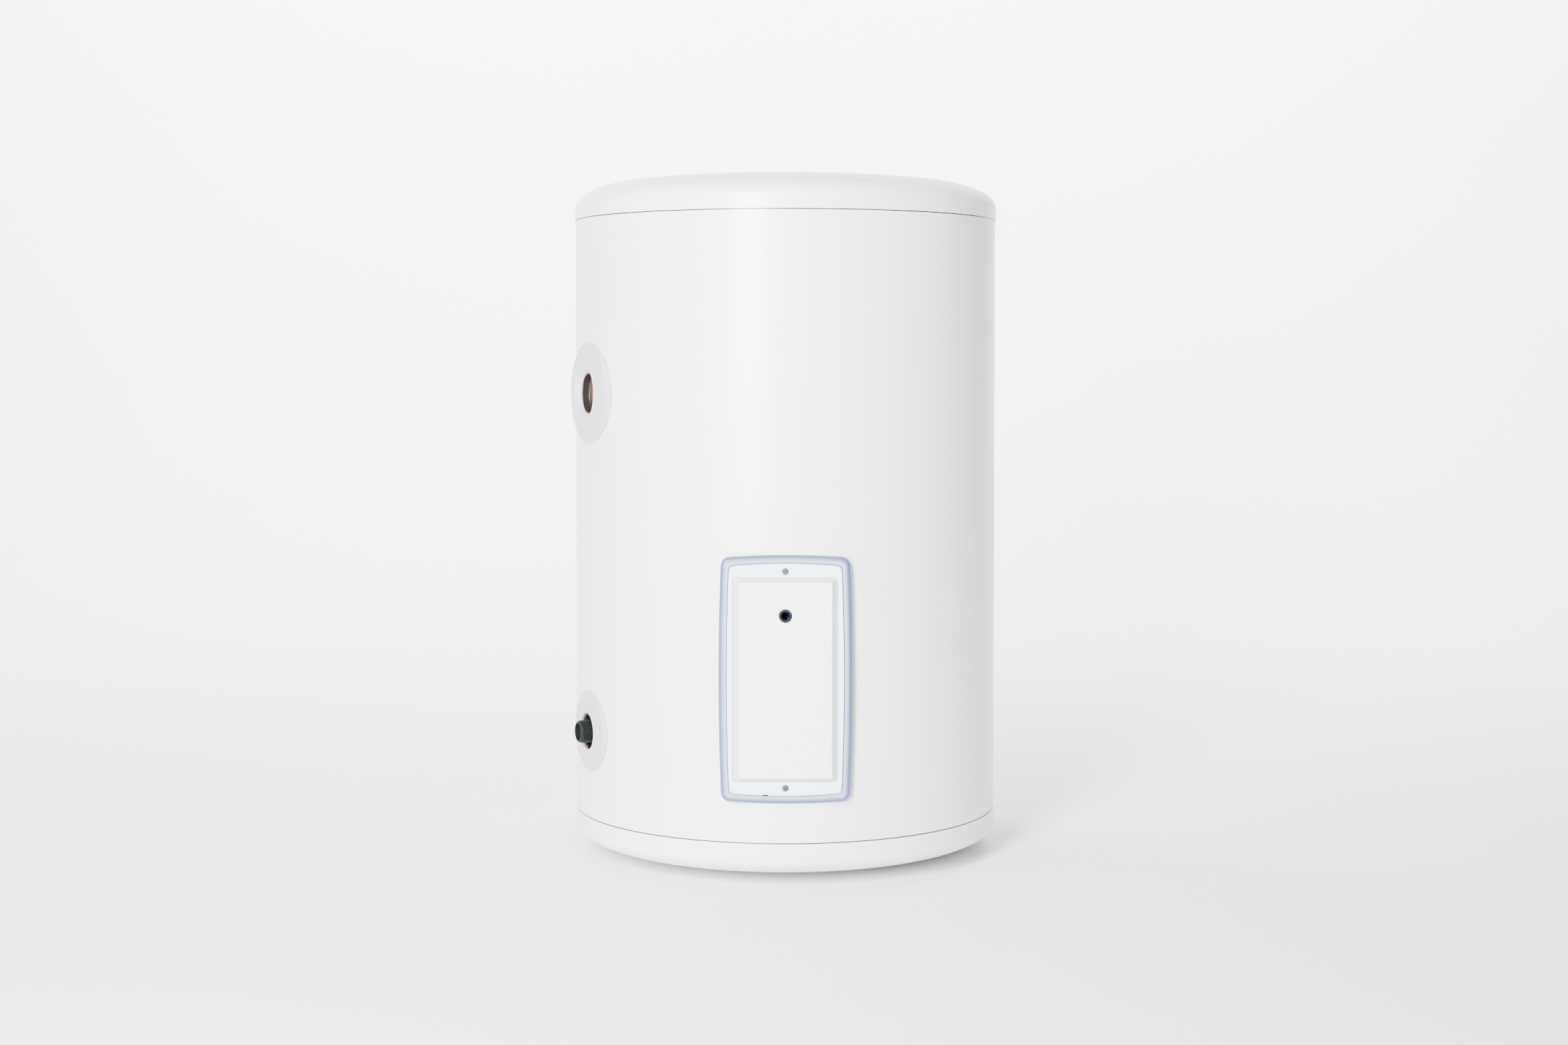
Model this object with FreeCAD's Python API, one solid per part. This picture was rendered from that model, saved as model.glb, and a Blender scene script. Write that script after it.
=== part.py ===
"""Floor-standing electric tank water heater, nominally 80 litres, as an assembly of separate pieces.

Frame: millimetres, +Z up, origin on the floor under the tank's own axis. The access cover faces -Y.
The two pipe connections leave the left side, PORT_ANGLE degrees round from the front.
"""

import FreeCAD
import Part

import math
import os

# ---------------------------------------------------------------- driving dimensions
JACKET_R = 250.0          # outside radius of the painted jacket
JACKET_T = 1.0
SEAM_W, SEAM_PROUD = 12.0, 1.6         # folded lock seam down the back of the jacket
CAP_R = 250.8             # outside radius of the pressed top cap and base pan
CAP_T = 1.2
FOOT_H = 10.0             # floor to the underside of the base pan
BODY_H = 784.0            # underside of the base pan to the top of the top cap
SEAM_LOW = 42.6           # height of the lower seam above the underside
SEAM_HIGH = 739.0         # height of the upper seam above the underside
SEAM_GAP = 1.2            # the open line between a cap and the jacket
SHOULDER_W = 75.0         # radial width of both caps' rounded shoulders
SHOULDER_TOP = 30.0       # height of the top cap's shoulder
SHOULDER_LOW = 22.5       # height of the base pan's shoulder
LIP_H = 11.0              # how far a cap's joggled lip tucks into the jacket
LIP_R = JACKET_R - JACKET_T - 0.4
PANEL_R = 154.0           # recessed round panel in the top cap
PANEL_DROP = 2.0

TANK_R = 205.0
TANK_T = 2.5
HEAD_H = 68.0             # height of each dished tank head
CROWN_R = 8.0             # small flat at a head's crown
TANK_LOW = 123.0          # height of the tank's lower weld above the floor
TANK_HIGH = 681.0         # height of its upper weld
FOAM_GAP = 0.5            # room left between the foam and what it fills against

PORT_ANGLE = 65.0         # degrees from the front, towards the left side
HOT_Z = 546.0
COLD_Z = 154.0
SOCKET_R = 19.0
SOCKET_END = JACKET_R - 10      # distance of a socket's face from the tank's axis
THREAD_MINOR_R = 12.1     # three-quarter inch pipe thread
THREAD_MAJOR_R = 13.2
NIPPLE_END = JACKET_R + 15
NIPPLE_BORE_R = 9.5
HOT_COLLAR_R, HOT_MOUTH_R, HOT_THROAT_R = 58.5, 31.0, 22.5
COLD_COLLAR_R, COLD_MOUTH_R, COLD_THROAT_R = 47.0, 21.2, 19.5
SPIGOT_WALL = 1.2

COVER_Z = 234.0           # middle of the service opening
FRAME_W, FRAME_H = 73.5, 137.0         # half sizes of the blue-grey frame
COVER_W, COVER_H = 64.5, 128.0         # half sizes of the cover's flange
REBATE_W, REBATE_H = 64.9, 128.4       # half sizes of the recess that the cover drops into
LEDGE_W, LEDGE_H = 60.0, 123.5         # half sizes of the frame's inner opening
CUT_W, CUT_H = 62.5, 126.0             # half sizes of the hole in the jacket
WELL_W, WELL_H, WELL_T = 62.0, 125.5, 2.0
BOW = 2.4                 # how far the frame's and cover's sides bulge
COVER_T = 2.5
RAISED_W, RAISED_H = 57.0, 112.0       # foot of the raised panel
FACE_W, FACE_H = 50.8, 107.2           # its front face
SCREW_DZ = 119.1          # cover screws above and below the middle
CABLE_DZ = 71.0           # cable entry above the middle
CABLE_R = 4.5
PRY_X = -22.0             # pry notch in the cover's lower edge

FLANGE_Z = 176.0
FLANGE_R, NECK_BORE_R = 57.0, 46.0
FLANGE_GASKET_T = 3.0
FLANGE_PLATE_T = 5.0
STUD_CIRCLE_R, STUD_COUNT, STUD_R = 51.5, 6, 3.0
ELEMENT_X, ELEMENT_DZ, ELEMENT_R = 25.0, 11.0, 4.25
ELEMENT_REACH = 125.0
POCKET_DZ, ANODE_DZ = 26.0, -24.0
TERMINAL_DROP = 6.0       # from the flange plate to the end of an element's leg

BRACKET_T = 1.2
BRACKET_LOW, BRACKET_HIGH, BRACKET_W = 237.0, 345.0, 49.0
THERMOSTAT_X, THERMOSTAT_Z = -23.0, 264.0
LIMITER_X, LIMITER_Z = 24.0, 264.0
BLOCK_Z = 330.0
POLE_PITCH = 20.0
EARTH_X, EARTH_Z = 40.0, 299.0
TAB_DROP = 19.4           # terminal tabs behind the jacket's front line
WIRE_R = 1.5

FOOT_CIRCLE_R = 145.0
FOOT_R, FOOT_PAD_H = 20.0, 6.5
STEM_R, STEM_TOP = 5.0, 58.0
LEG_R, LEG_BORE_R, LEG_PLATE_H = 13.0, 10.0, 10.0

RUN_CLEARANCE = 0.08      # radial room round a piece that turns or slides


def face(depth):
    """Y of a plane behind the jacket's front line. A negative depth stands proud of it."""
    return depth - JACKET_R


FRAME_FRONT = face(-3.6)
COVER_FRONT = face(-4.8)
PANEL_FRONT = face(-10.6)
NECK_FACE = face(35.0)
BRACKET_FRONT = face(30.0)
THERMOSTAT_FRONT = face(10.0)
LIMITER_FRONT = face(12.0)
BLOCK_FRONT = face(12.0)
TAB_Y = face(TAB_DROP)
OUTSIDE = face(-40.0)     # well clear in front of everything
INSIDE = face(100.0)      # well inside the tank
UNDERSIDE = FOOT_H
SEAM_LOW_Z = UNDERSIDE + SEAM_LOW
SEAM_HIGH_Z = UNDERSIDE + SEAM_HIGH
TOP_Z = UNDERSIDE + BODY_H
PLATE_BACK = NECK_FACE - FLANGE_GASKET_T
PLATE_FRONT = PLATE_BACK - FLANGE_PLATE_T
LEG_END = PLATE_FRONT - TERMINAL_DROP

X, Y, Z = FreeCAD.Vector(1, 0, 0), FreeCAD.Vector(0, 1, 0), FreeCAD.Vector(0, 0, 1)


# ---------------------------------------------------------------- small helpers
def vec(x, y, z):
    return FreeCAD.Vector(x, y, z)


def cylinder(r, start, direction, length):
    return Part.makeCylinder(r, length, start, direction)


def tube(r_out, r_in, start, direction, length):
    return cylinder(r_out, start, direction, length).cut(cylinder(r_in, start, direction, length))


def along_y(r, x, z, y_from, y_to):
    """A round bar along Y from y_from to y_to, the lower value first."""
    return cylinder(r, vec(x, y_from, z), Y, y_to - y_from)


def block(x_range, y_range, z_range):
    low = vec(x_range[0], y_range[0], z_range[0])
    size = (x_range[1] - x_range[0], y_range[1] - y_range[0], z_range[1] - z_range[0])
    return Part.makeBox(*size, low)


def union(shapes):
    first = shapes[0]
    return first.multiFuse(shapes[1:]).removeSplitter() if len(shapes) > 1 else first


def minus(shape, *tools):
    return shape.cut(list(tools))


def hexagon(across_flats, start, direction, length):
    """A hexagonal prism with one corner on +X before it is turned to its direction."""
    r = across_flats / math.sqrt(3)
    angles = [math.radians(60 * i) for i in range(7)]
    corners = [vec(r * math.cos(a), r * math.sin(a), 0) for a in angles]
    prism = Part.Face(Part.makePolygon(corners)).extrude(Z * length)
    prism.Placement = FreeCAD.Placement(start, FreeCAD.Rotation(Z, direction))
    return prism


def revolve(edges):
    """Turns a closed outline in the XZ plane once round the Z axis."""
    return Part.Face(Part.Wire(edges)).revolve(vec(0, 0, 0), Z, 360)


def line(a, b):
    return Part.LineSegment(vec(a[0], 0, a[1]), vec(b[0], 0, b[1])).toShape()


def lines(points):
    return [line(a, b) for a, b in zip(points, points[1:])]


def elliptical(centre, a, b, end_x=0.0):
    """An arc in XZ from (centre + a, 0) towards (centre, + b), stopped end_x short of the centre."""
    ellipse = Part.Ellipse(vec(0, 0, 0), a, abs(b))
    edge = Part.ArcOfEllipse(ellipse, 0, math.acos(end_x / a)).toShape()
    edge.rotate(vec(0, 0, 0), X, 90 if b > 0 else -90)
    edge.translate(vec(centre[0], 0, centre[1]))
    return edge


def dome(weld_z, r, h, sign):
    """A dished end's half outline, from (r, weld_z) to the axis, with a small flat at its crown."""
    arc = elliptical((0, weld_z), r, sign * h, CROWN_R)
    crown_z = weld_z + sign * h * math.sqrt(1 - (CROWN_R / r) ** 2)
    return [arc, line((CROWN_R, crown_z), (0, crown_z))], crown_z


def outline(half_w, half_h, corner, y, bow=0.0, z_mid=COVER_Z):
    """A closed rounded rectangle in a plane of constant Y. bow bulges its sides outwards."""
    w, h, c = half_w - bow, half_h - bow, corner
    edges = []
    for k in range(4):
        turn = FreeCAD.Rotation(Y, -90 * k)
        a, b = (w, h) if k % 2 == 0 else (h, w)
        side = [vec(a, 0, -(b - c)), vec(a + bow, 0, 0), vec(a, 0, b - c)]
        bend = c * (1 - math.sqrt(0.5))
        elbow = [side[2], vec(a - bend, 0, b - bend), vec(a - c, 0, b)]
        straight = Part.LineSegment(side[0], side[2]) if bow == 0 else Part.Arc(*side)
        for curve in (straight, Part.Arc(*elbow)):
            edge = curve.toShape()
            edge.Placement = FreeCAD.Placement(vec(0, y, z_mid), turn)
            edges.append(edge)
    return Part.Wire(Part.__sortEdges__(edges))


def slab(half_w, half_h, corner, y_from, y_to, bow=0.0, z_mid=COVER_Z):
    return Part.Face(outline(half_w, half_h, corner, y_from, bow, z_mid)).extrude(Y * (y_to - y_from))


def barrel(r, z_from=0.0, z_to=TOP_Z):
    return cylinder(r, vec(0, 0, z_from), Z, z_to - z_from)


def tank_solid(grow=0.0):
    """The tank's outside as one solid, larger all round by grow."""
    r, h = TANK_R + grow, HEAD_H + grow
    upper, top = dome(TANK_HIGH, r, h, 1)
    lower, bottom = dome(TANK_LOW, r, h, -1)
    sides = [line((r, TANK_HIGH), (r, TANK_LOW)), line((0, bottom), (0, top))]
    return revolve(Part.__sortEdges__(upper + lower + sides))


def to_port(shape, z):
    """Turns a piece made along +X from the tank's axis to a pipe connection's place."""
    moved = shape.copy()
    moved.rotate(vec(0, 0, 0), Z, 270 - PORT_ANGLE)
    moved.translate(vec(0, 0, z))
    return moved


def port_bar(r, s_from, s_to):
    return cylinder(r, vec(s_from, 0, 0), X, s_to - s_from)


def foot_places():
    for name, angle in (("front_left", 225), ("front_right", 315), ("back_right", 45), ("back_left", 135)):
        a = math.radians(angle)
        yield name, vec(FOOT_CIRCLE_R * math.cos(a), FOOT_CIRCLE_R * math.sin(a), 0)


def stud_places():
    for k in range(STUD_COUNT):
        a = math.radians(360 * k / STUD_COUNT)
        yield STUD_CIRCLE_R * math.cos(a), FLANGE_Z + STUD_CIRCLE_R * math.sin(a)


def element_legs():
    for side in (-1, 1):
        for dz in (ELEMENT_DZ, -ELEMENT_DZ):
            yield side * ELEMENT_X, FLANGE_Z + dz


def wire_path(points, radius):
    """A line through the points with each corner rounded to the radius."""
    edges, at = [], points[0]
    for before, corner, after in zip(points, points[1:], points[2:]):
        u, v = (before - corner).normalize(), (after - corner).normalize()
        half = u.getAngle(v) / 2
        reach = radius / math.tan(half)
        enter, leave = corner + u * reach, corner + v * reach
        middle = corner + (u + v).normalize() * (radius / math.sin(half) - radius)
        edges.append(Part.LineSegment(at, enter).toShape())
        edges.append(Part.Arc(enter, middle, leave).toShape())
        at = leave
    edges.append(Part.LineSegment(at, points[-1]).toShape())
    return Part.Wire(edges)


def bent_bar(points, r, radius):
    path = wire_path([vec(*p) for p in points], radius)
    start, ahead = path.Edges[0].valueAt(path.Edges[0].FirstParameter), vec(*points[1]) - vec(*points[0])
    ring = Part.Wire([Part.makeCircle(r, start, ahead)])
    return path.makePipeShell([ring], True, False)


# ---------------------------------------------------------------- outer casing
def cap(seam_z, shoulder, top, sign):
    """A pressed cap: a wall from the seam, a rounded shoulder, a flat, and a lip inside the jacket.

    sign is 1 for the top cap and -1 for the base pan.
    """
    wall_end = top - sign * shoulder
    wall_start = seam_z + sign * SEAM_GAP / 2
    lip_end = seam_z - sign * LIP_H
    flat_r = CAP_R - SHOULDER_W
    drop = PANEL_DROP if sign > 0 else 0.0
    outer, inner = CAP_R, CAP_R - CAP_T
    lip_in = LIP_R - CAP_T
    fold = wall_start + sign * CAP_T
    edges = [elliptical((flat_r, wall_end), SHOULDER_W, sign * shoulder)]
    floor = top - sign * drop
    edges += lines([(flat_r, top), (PANEL_R + 5, top), (PANEL_R, floor), (0, floor)])
    edges += lines([(0, top - sign * drop), (0, top - sign * (drop + CAP_T))])
    edges += lines([
        (0, top - sign * (drop + CAP_T)),
        (PANEL_R, top - sign * (drop + CAP_T)),
        (PANEL_R + 5, top - sign * CAP_T),
        (flat_r, top - sign * CAP_T),
    ])
    edges += [elliptical((flat_r, wall_end), SHOULDER_W - CAP_T, sign * (shoulder - CAP_T))]
    edges += lines([
        (inner, wall_end),
        (inner, fold + sign * CAP_T),
        (lip_in, fold),
        (lip_in, lip_end),
        (LIP_R, lip_end),
        (LIP_R, wall_start),
        (outer, wall_start),
        (outer, wall_end),
    ])
    return revolve(Part.__sortEdges__(edges))


def outer_jacket():
    low, high = SEAM_LOW_Z + SEAM_GAP / 2, SEAM_HIGH_Z - SEAM_GAP / 2
    shell = barrel(JACKET_R, low, high)
    seam = block((-SEAM_W / 2, SEAM_W / 2), (JACKET_R - 1.5, JACKET_R + SEAM_PROUD), (low, high))
    outside = JACKET_R + SEAM_PROUD
    edges = [e for e in seam.Edges if abs(e.BoundBox.YMin - outside) < 0.01 and e.Length > 100]
    shell = shell.fuse(seam.makeFillet(0.8, edges)).cut(barrel(JACKET_R - JACKET_T))
    opening = slab(CUT_W, CUT_H, 8, OUTSIDE, face(60))
    hot_hole = to_port(port_bar(HOT_THROAT_R + SPIGOT_WALL + 0.5, SOCKET_END - 40, JACKET_R + 40), HOT_Z)
    cold_hole = to_port(port_bar(COLD_THROAT_R + SPIGOT_WALL + 0.5, SOCKET_END - 40, JACKET_R + 40), COLD_Z)
    return minus(shell, opening, hot_hole, cold_hole)


def top_cap():
    return cap(SEAM_HIGH_Z, SHOULDER_TOP, TOP_Z, 1)


def base_pan():
    pan = cap(SEAM_LOW_Z, SHOULDER_LOW, UNDERSIDE, -1)
    return minus(pan, *[cylinder(7, place, Z, 30) for _, place in foot_places()])


# ---------------------------------------------------------------- insulation
def cap_filling(top, sign):
    """The space inside a cap, less FOAM_GAP, as one solid from the lip's end outwards."""
    seam_z, shoulder = (SEAM_HIGH_Z, SHOULDER_TOP) if sign > 0 else (SEAM_LOW_Z, SHOULDER_LOW)
    inset = CAP_T + FOAM_GAP
    flat_r, drop = CAP_R - SHOULDER_W, PANEL_DROP + 0.3 if sign > 0 else 0.0
    end = top - sign * (inset + drop)
    wall_end = top - sign * shoulder
    start = seam_z - sign * (LIP_H + 1)
    r_lip = LIP_R - inset
    step = seam_z + sign * 6
    edges = [elliptical((flat_r, wall_end), SHOULDER_W - inset, sign * (abs(end - wall_end)))]
    r_wall = CAP_R - inset
    edges += lines([(flat_r, end), (0, end), (0, start), (r_lip, start), (r_lip, step), (r_wall, step)])
    edges += lines([(r_wall, step), (r_wall, wall_end)])
    return revolve(Part.__sortEdges__(edges))


def foam_top():
    return cap_filling(TOP_Z, 1).cut(tank_solid(FOAM_GAP))


def foam_bottom():
    legs = [cylinder(LEG_R + FOAM_GAP, place, Z, 120) for _, place in foot_places()]
    return minus(cap_filling(UNDERSIDE, -1), tank_solid(FOAM_GAP), *legs)


def foam_barrel():
    low, high = SEAM_LOW_Z + LIP_H + 2, SEAM_HIGH_Z - LIP_H - 2
    foam = barrel(JACKET_R - JACKET_T - FOAM_GAP, low, high)
    well = slab(WELL_W + FOAM_GAP, WELL_H + FOAM_GAP, 8, OUTSIDE, INSIDE)
    reach = (SOCKET_END - 50, JACKET_R + 40)
    hot = to_port(port_bar(HOT_THROAT_R + SPIGOT_WALL + FOAM_GAP, *reach), HOT_Z)
    cold = to_port(port_bar(COLD_THROAT_R + SPIGOT_WALL + FOAM_GAP, *reach), COLD_Z)
    legs = [cylinder(LEG_R + FOAM_GAP, place, Z, 120) for _, place in foot_places()]
    return minus(foam, tank_solid(FOAM_GAP), well, hot, cold, *legs)


# ---------------------------------------------------------------- tank
def tank_barrel():
    shell = barrel(TANK_R, TANK_LOW, TANK_HIGH).cut(barrel(TANK_R - TANK_T))
    ports = [to_port(port_bar(15, TANK_R - 25, TANK_R + 15), z) for z in (HOT_Z, COLD_Z)]
    return minus(shell, along_y(NECK_BORE_R, 0, FLANGE_Z, -TANK_R - 20, INSIDE), *ports)


def tank_head(weld_z, sign):
    outer, outer_z = dome(weld_z, TANK_R, HEAD_H, sign)
    inner, inner_z = dome(weld_z, TANK_R - TANK_T, HEAD_H - TANK_T, sign)
    rim = line((TANK_R, weld_z), (TANK_R - TANK_T, weld_z))
    crown = line((0, outer_z), (0, inner_z))
    return revolve(Part.__sortEdges__(outer + inner + [rim, crown]))


def support_legs():
    """Four tubular legs welded under the tank, each closed below by a tapped plate for a levelling foot."""
    low = UNDERSIDE + CAP_T + 0.3
    legs = []
    for _, place in foot_places():
        start = place + Z * low
        post = tube(LEG_R, LEG_BORE_R, start, Z, 110 - low)
        plate = cylinder(LEG_R, start, Z, LEG_PLATE_H)
        leg = union([post, plate]).cut(cylinder(STEM_R + RUN_CLEARANCE, place, Z, 60))
        legs.append(leg.cut(tank_solid()))
    return Part.makeCompound(legs)


# ---------------------------------------------------------------- pipe connections
def pipe_socket(z, seat_r, seat_from):
    """A tapped steel boss welded through the tank's wall, threaded at seat_r from seat_from outwards."""
    spigot = port_bar(14.8, TANK_R - 8, TANK_R + 6)
    boss = union([port_bar(SOCKET_R, TANK_R - 9, SOCKET_END).cut(barrel(TANK_R, -40, 40)), spigot])
    bore = port_bar(THREAD_MINOR_R, TANK_R - 20, JACKET_R + 40)
    return to_port(minus(boss, bore, port_bar(seat_r, seat_from, JACKET_R + 40)), z)


def hot_outlet_socket():
    return pipe_socket(HOT_Z, THREAD_MINOR_R, SOCKET_END - 1)


def cold_inlet_socket():
    return pipe_socket(COLD_Z, THREAD_MAJOR_R + 0.05, SOCKET_END - 24)


def cold_inlet_nipple():
    """A male nipple with a hexagon, screwed into the cold socket, its end free for the supply pipe."""
    body = union([
        port_bar(THREAD_MAJOR_R, SOCKET_END - 23.5, SOCKET_END + 1),
        hexagon(32, vec(SOCKET_END + 0.3, 0, 0), X, 6.5),
        port_bar(THREAD_MAJOR_R, SOCKET_END + 6, NIPPLE_END),
    ])
    return to_port(body.cut(port_bar(NIPPLE_BORE_R, TANK_R - 20, JACKET_R + 40)), COLD_Z)


def collar(radius, rim, mouth_r, mouth, throat_r, throat_depth):
    """A domed plastic collar with a funnel mouth and a spigot that lines the hole in the jacket.

    rim and mouth are heights above the jacket, and throat_depth is how far the spigot goes in.
    """
    crown = JACKET_R + mouth
    throat = JACKET_R - throat_depth
    points = [
        (throat_r, JACKET_R - 2), (mouth_r, crown - 0.6), (mouth_r + 1.5, crown),
        (radius * 0.72, crown - 2.2), (radius - 1.2, JACKET_R + rim), (radius, JACKET_R + rim - 1.2),
        (radius, JACKET_R - 10),
        (throat_r, JACKET_R - 10), (throat_r, JACKET_R - 2),
    ]
    body = revolve(lines(points))
    body.rotate(vec(0, 0, 0), Y, 90)
    body = body.cut(barrel(JACKET_R + 0.1, -100, 100))
    spigot = port_bar(throat_r + SPIGOT_WALL, throat, JACKET_R + 1)
    return body.fuse(spigot).cut(port_bar(throat_r, throat - 1, JACKET_R + 40)).removeSplitter()


def hot_outlet_collar():
    return to_port(collar(HOT_COLLAR_R, 2.0, HOT_MOUTH_R, 7.0, HOT_THROAT_R, 9.0), HOT_Z)


def cold_inlet_collar():
    return to_port(collar(COLD_COLLAR_R, 1.6, COLD_MOUTH_R, 4.6, COLD_THROAT_R, 8.0), COLD_Z)


def hot_riser_pipe():
    """Draws hot water from the top of the tank down to the outlet socket."""
    points = [(TANK_R - 8.5, 0, 0), (138, 0, 0), (138, 0, TANK_HIGH + 38 - HOT_Z)]
    return to_port(bent_bar(points, 11, 34).cut(bent_bar(points, 9, 34)), HOT_Z)


def inlet_diffuser():
    """A closed tube with four slots that spreads the cold water low in the tank."""
    end = TANK_R - 8.5
    body = port_bar(11, end - 45, end).cut(port_bar(9, end - 43, end + 5))
    long = (end - 37, end - 9)
    slots = [block(long, (-2, 2), (-12, 12)), block(long, (-12, 12), (-2, 2))]
    return to_port(minus(body, *slots), COLD_Z)


# ---------------------------------------------------------------- heating flange
def flange_neck():
    neck = along_y(FLANGE_R, 0, FLANGE_Z, NECK_FACE, 24 - TANK_R)
    neck = neck.cut(along_y(NECK_BORE_R, 0, FLANGE_Z, OUTSIDE, INSIDE))
    studs = [along_y(STUD_R + 0.05, x, z, NECK_FACE - 1, NECK_FACE + 8.2) for x, z in stud_places()]
    return minus(neck, barrel(TANK_R), *studs)


def flange_gasket():
    ring = along_y(FLANGE_R, 0, FLANGE_Z, PLATE_BACK, NECK_FACE)
    holes = [along_y(STUD_R + 0.3, x, z, OUTSIDE, INSIDE) for x, z in stud_places()]
    return minus(ring, along_y(NECK_BORE_R - 3, 0, FLANGE_Z, OUTSIDE, INSIDE), *holes)


def flange_plate():
    plate = along_y(FLANGE_R, 0, FLANGE_Z, PLATE_FRONT, PLATE_BACK)
    holes = [along_y(STUD_R + 0.3, x, z, OUTSIDE, INSIDE) for x, z in stud_places()]
    holes += [along_y(ELEMENT_R, x, z, OUTSIDE, INSIDE) for x, z in element_legs()]
    holes.append(along_y(5, 0, FLANGE_Z + POCKET_DZ, OUTSIDE, INSIDE))
    holes.append(along_y(4, 0, FLANGE_Z + ANODE_DZ, OUTSIDE, INSIDE))
    return minus(plate, *holes)


def flange_studs():
    ends = (PLATE_FRONT - 13, NECK_FACE + 8)
    return Part.makeCompound([along_y(STUD_R, x, z, *ends) for x, z in stud_places()])


def flange_washers():
    y = PLATE_FRONT - 1.2
    return Part.makeCompound([
        along_y(6.2, x, z, y, PLATE_FRONT).cut(along_y(STUD_R + 0.2, x, z, y - 1, PLATE_FRONT + 1))
        for x, z in stud_places()
    ])


def flange_nuts():
    y = PLATE_FRONT - 1.2
    return Part.makeCompound([
        hexagon(10, vec(x, y, z), -Y, 5).cut(along_y(STUD_R + 0.05, x, z, y - 6, y + 1))
        for x, z in stud_places()
    ])


def heating_element(side):
    """A hairpin: two straight legs through the flange plate and a half-round bend at the far end."""
    x = side * ELEMENT_X
    heights = (FLANGE_Z + ELEMENT_DZ, FLANGE_Z - ELEMENT_DZ)
    legs = [along_y(ELEMENT_R, x, z, LEG_END, ELEMENT_REACH) for z in heights]
    bend = Part.makeTorus(ELEMENT_DZ, ELEMENT_R, vec(x, ELEMENT_REACH, FLANGE_Z), X)
    far_half = block((x - 20, x + 20), (ELEMENT_REACH, ELEMENT_REACH + 40), (FLANGE_Z - 40, FLANGE_Z + 40))
    bend = bend.common(far_half)
    return union([*legs, bend])


def element_insulators():
    return Part.makeCompound([
        along_y(3.6, x, z, LEG_END - 5, LEG_END).cut(along_y(1.5, x, z, LEG_END - 9, LEG_END + 1))
        for x, z in element_legs()
    ])


def element_pins():
    return Part.makeCompound([along_y(1.5, x, z, LEG_END - 12, LEG_END) for x, z in element_legs()])


def element_links():
    """Two copper straps that join the left and right elements."""
    y = LEG_END - 6.2
    straps = []
    for dz in (ELEMENT_DZ, -ELEMENT_DZ):
        strap = slab(ELEMENT_X + 4, 4, 3.9, y - 1, y, z_mid=FLANGE_Z + dz)
        holes = [along_y(1.6, x, FLANGE_Z + dz, y - 2, y + 1) for x in (-ELEMENT_X, ELEMENT_X)]
        straps.append(minus(strap, *holes))
    return Part.makeCompound(straps)


def element_link_nuts():
    y = LEG_END - 7.2
    return Part.makeCompound([
        hexagon(5.5, vec(x, y, z), -Y, 2.4).cut(along_y(1.55, x, z, y - 3, y + 1))
        for x, z in element_legs()
    ])


def thermostat_pocket():
    """A closed tube through the flange plate that holds the sensing bulb in the water."""
    z = FLANGE_Z + POCKET_DZ
    body = union([along_y(5, 0, z, PLATE_FRONT - 3, -60), along_y(8, 0, z, PLATE_FRONT - 3, PLATE_FRONT)])
    return body.cut(along_y(4, 0, z, PLATE_FRONT - 4, -62))


def anode_rod():
    z = FLANGE_Z + ANODE_DZ
    rod = along_y(11, 0, z, PLATE_BACK + 1, 70)
    return union([rod, along_y(4, 0, z, PLATE_FRONT - 12, PLATE_BACK + 2)])


def anode_nut():
    z = FLANGE_Z + ANODE_DZ
    return hexagon(13, vec(0, PLATE_FRONT, z), -Y, 6.5).cut(along_y(4.05, 0, z, OUTSIDE, INSIDE))


# ---------------------------------------------------------------- service compartment
def service_well():
    """The moulded lining of the compartment, from jacket to tank, with a boss for each cover screw."""
    ring = slab(WELL_W, WELL_H, 7.5, face(1.6), 15 - TANK_R)
    ring = ring.cut(slab(WELL_W - WELL_T, WELL_H - WELL_T, 5.5, OUTSIDE, INSIDE))
    ring = ring.common(barrel(JACKET_R - JACKET_T - 0.3).cut(barrel(TANK_R + 0.3)))
    parts = [ring]
    for sign in (-1, 1):
        z = COVER_Z + sign * SCREW_DZ
        wall = COVER_Z + sign * (WELL_H - 1)
        rib = block((-2, 2), (face(2), face(20)), (min(z, wall), max(z, wall)))
        parts.append(union([along_y(4.2, 0, z, COVER_FRONT + COVER_T, face(22)), rib]))
    holes = [along_y(2.0 + RUN_CLEARANCE, 0, COVER_Z + s * SCREW_DZ, OUTSIDE, face(30)) for s in (-1, 1)]
    return minus(union(parts), *holes)


def front_rim(shape, y):
    """The edges that lie in the plane of constant Y."""
    return [e for e in shape.Edges if abs(e.BoundBox.YMin - y) < 0.01 and e.BoundBox.YLength < 0.01]


def cover_frame():
    """The moulded frame round the opening: a rounded bead outside and a ledge that the cover sits on."""
    frame = slab(FRAME_W, FRAME_H, 10, FRAME_FRONT, face(25), BOW)
    frame = frame.makeFillet(2.2, front_rim(frame, FRAME_FRONT))
    rebate = slab(REBATE_W, REBATE_H, 6.3, OUTSIDE, COVER_FRONT + COVER_T + 0.05, BOW)
    opening = slab(LEDGE_W, LEDGE_H, 5, OUTSIDE, face(60))
    boss_room = [along_y(4.6, 0, COVER_Z + s * SCREW_DZ, OUTSIDE, face(30)) for s in (-1, 1)]
    return minus(frame, rebate, opening, barrel(JACKET_R + 0.1), *boss_room)


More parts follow.
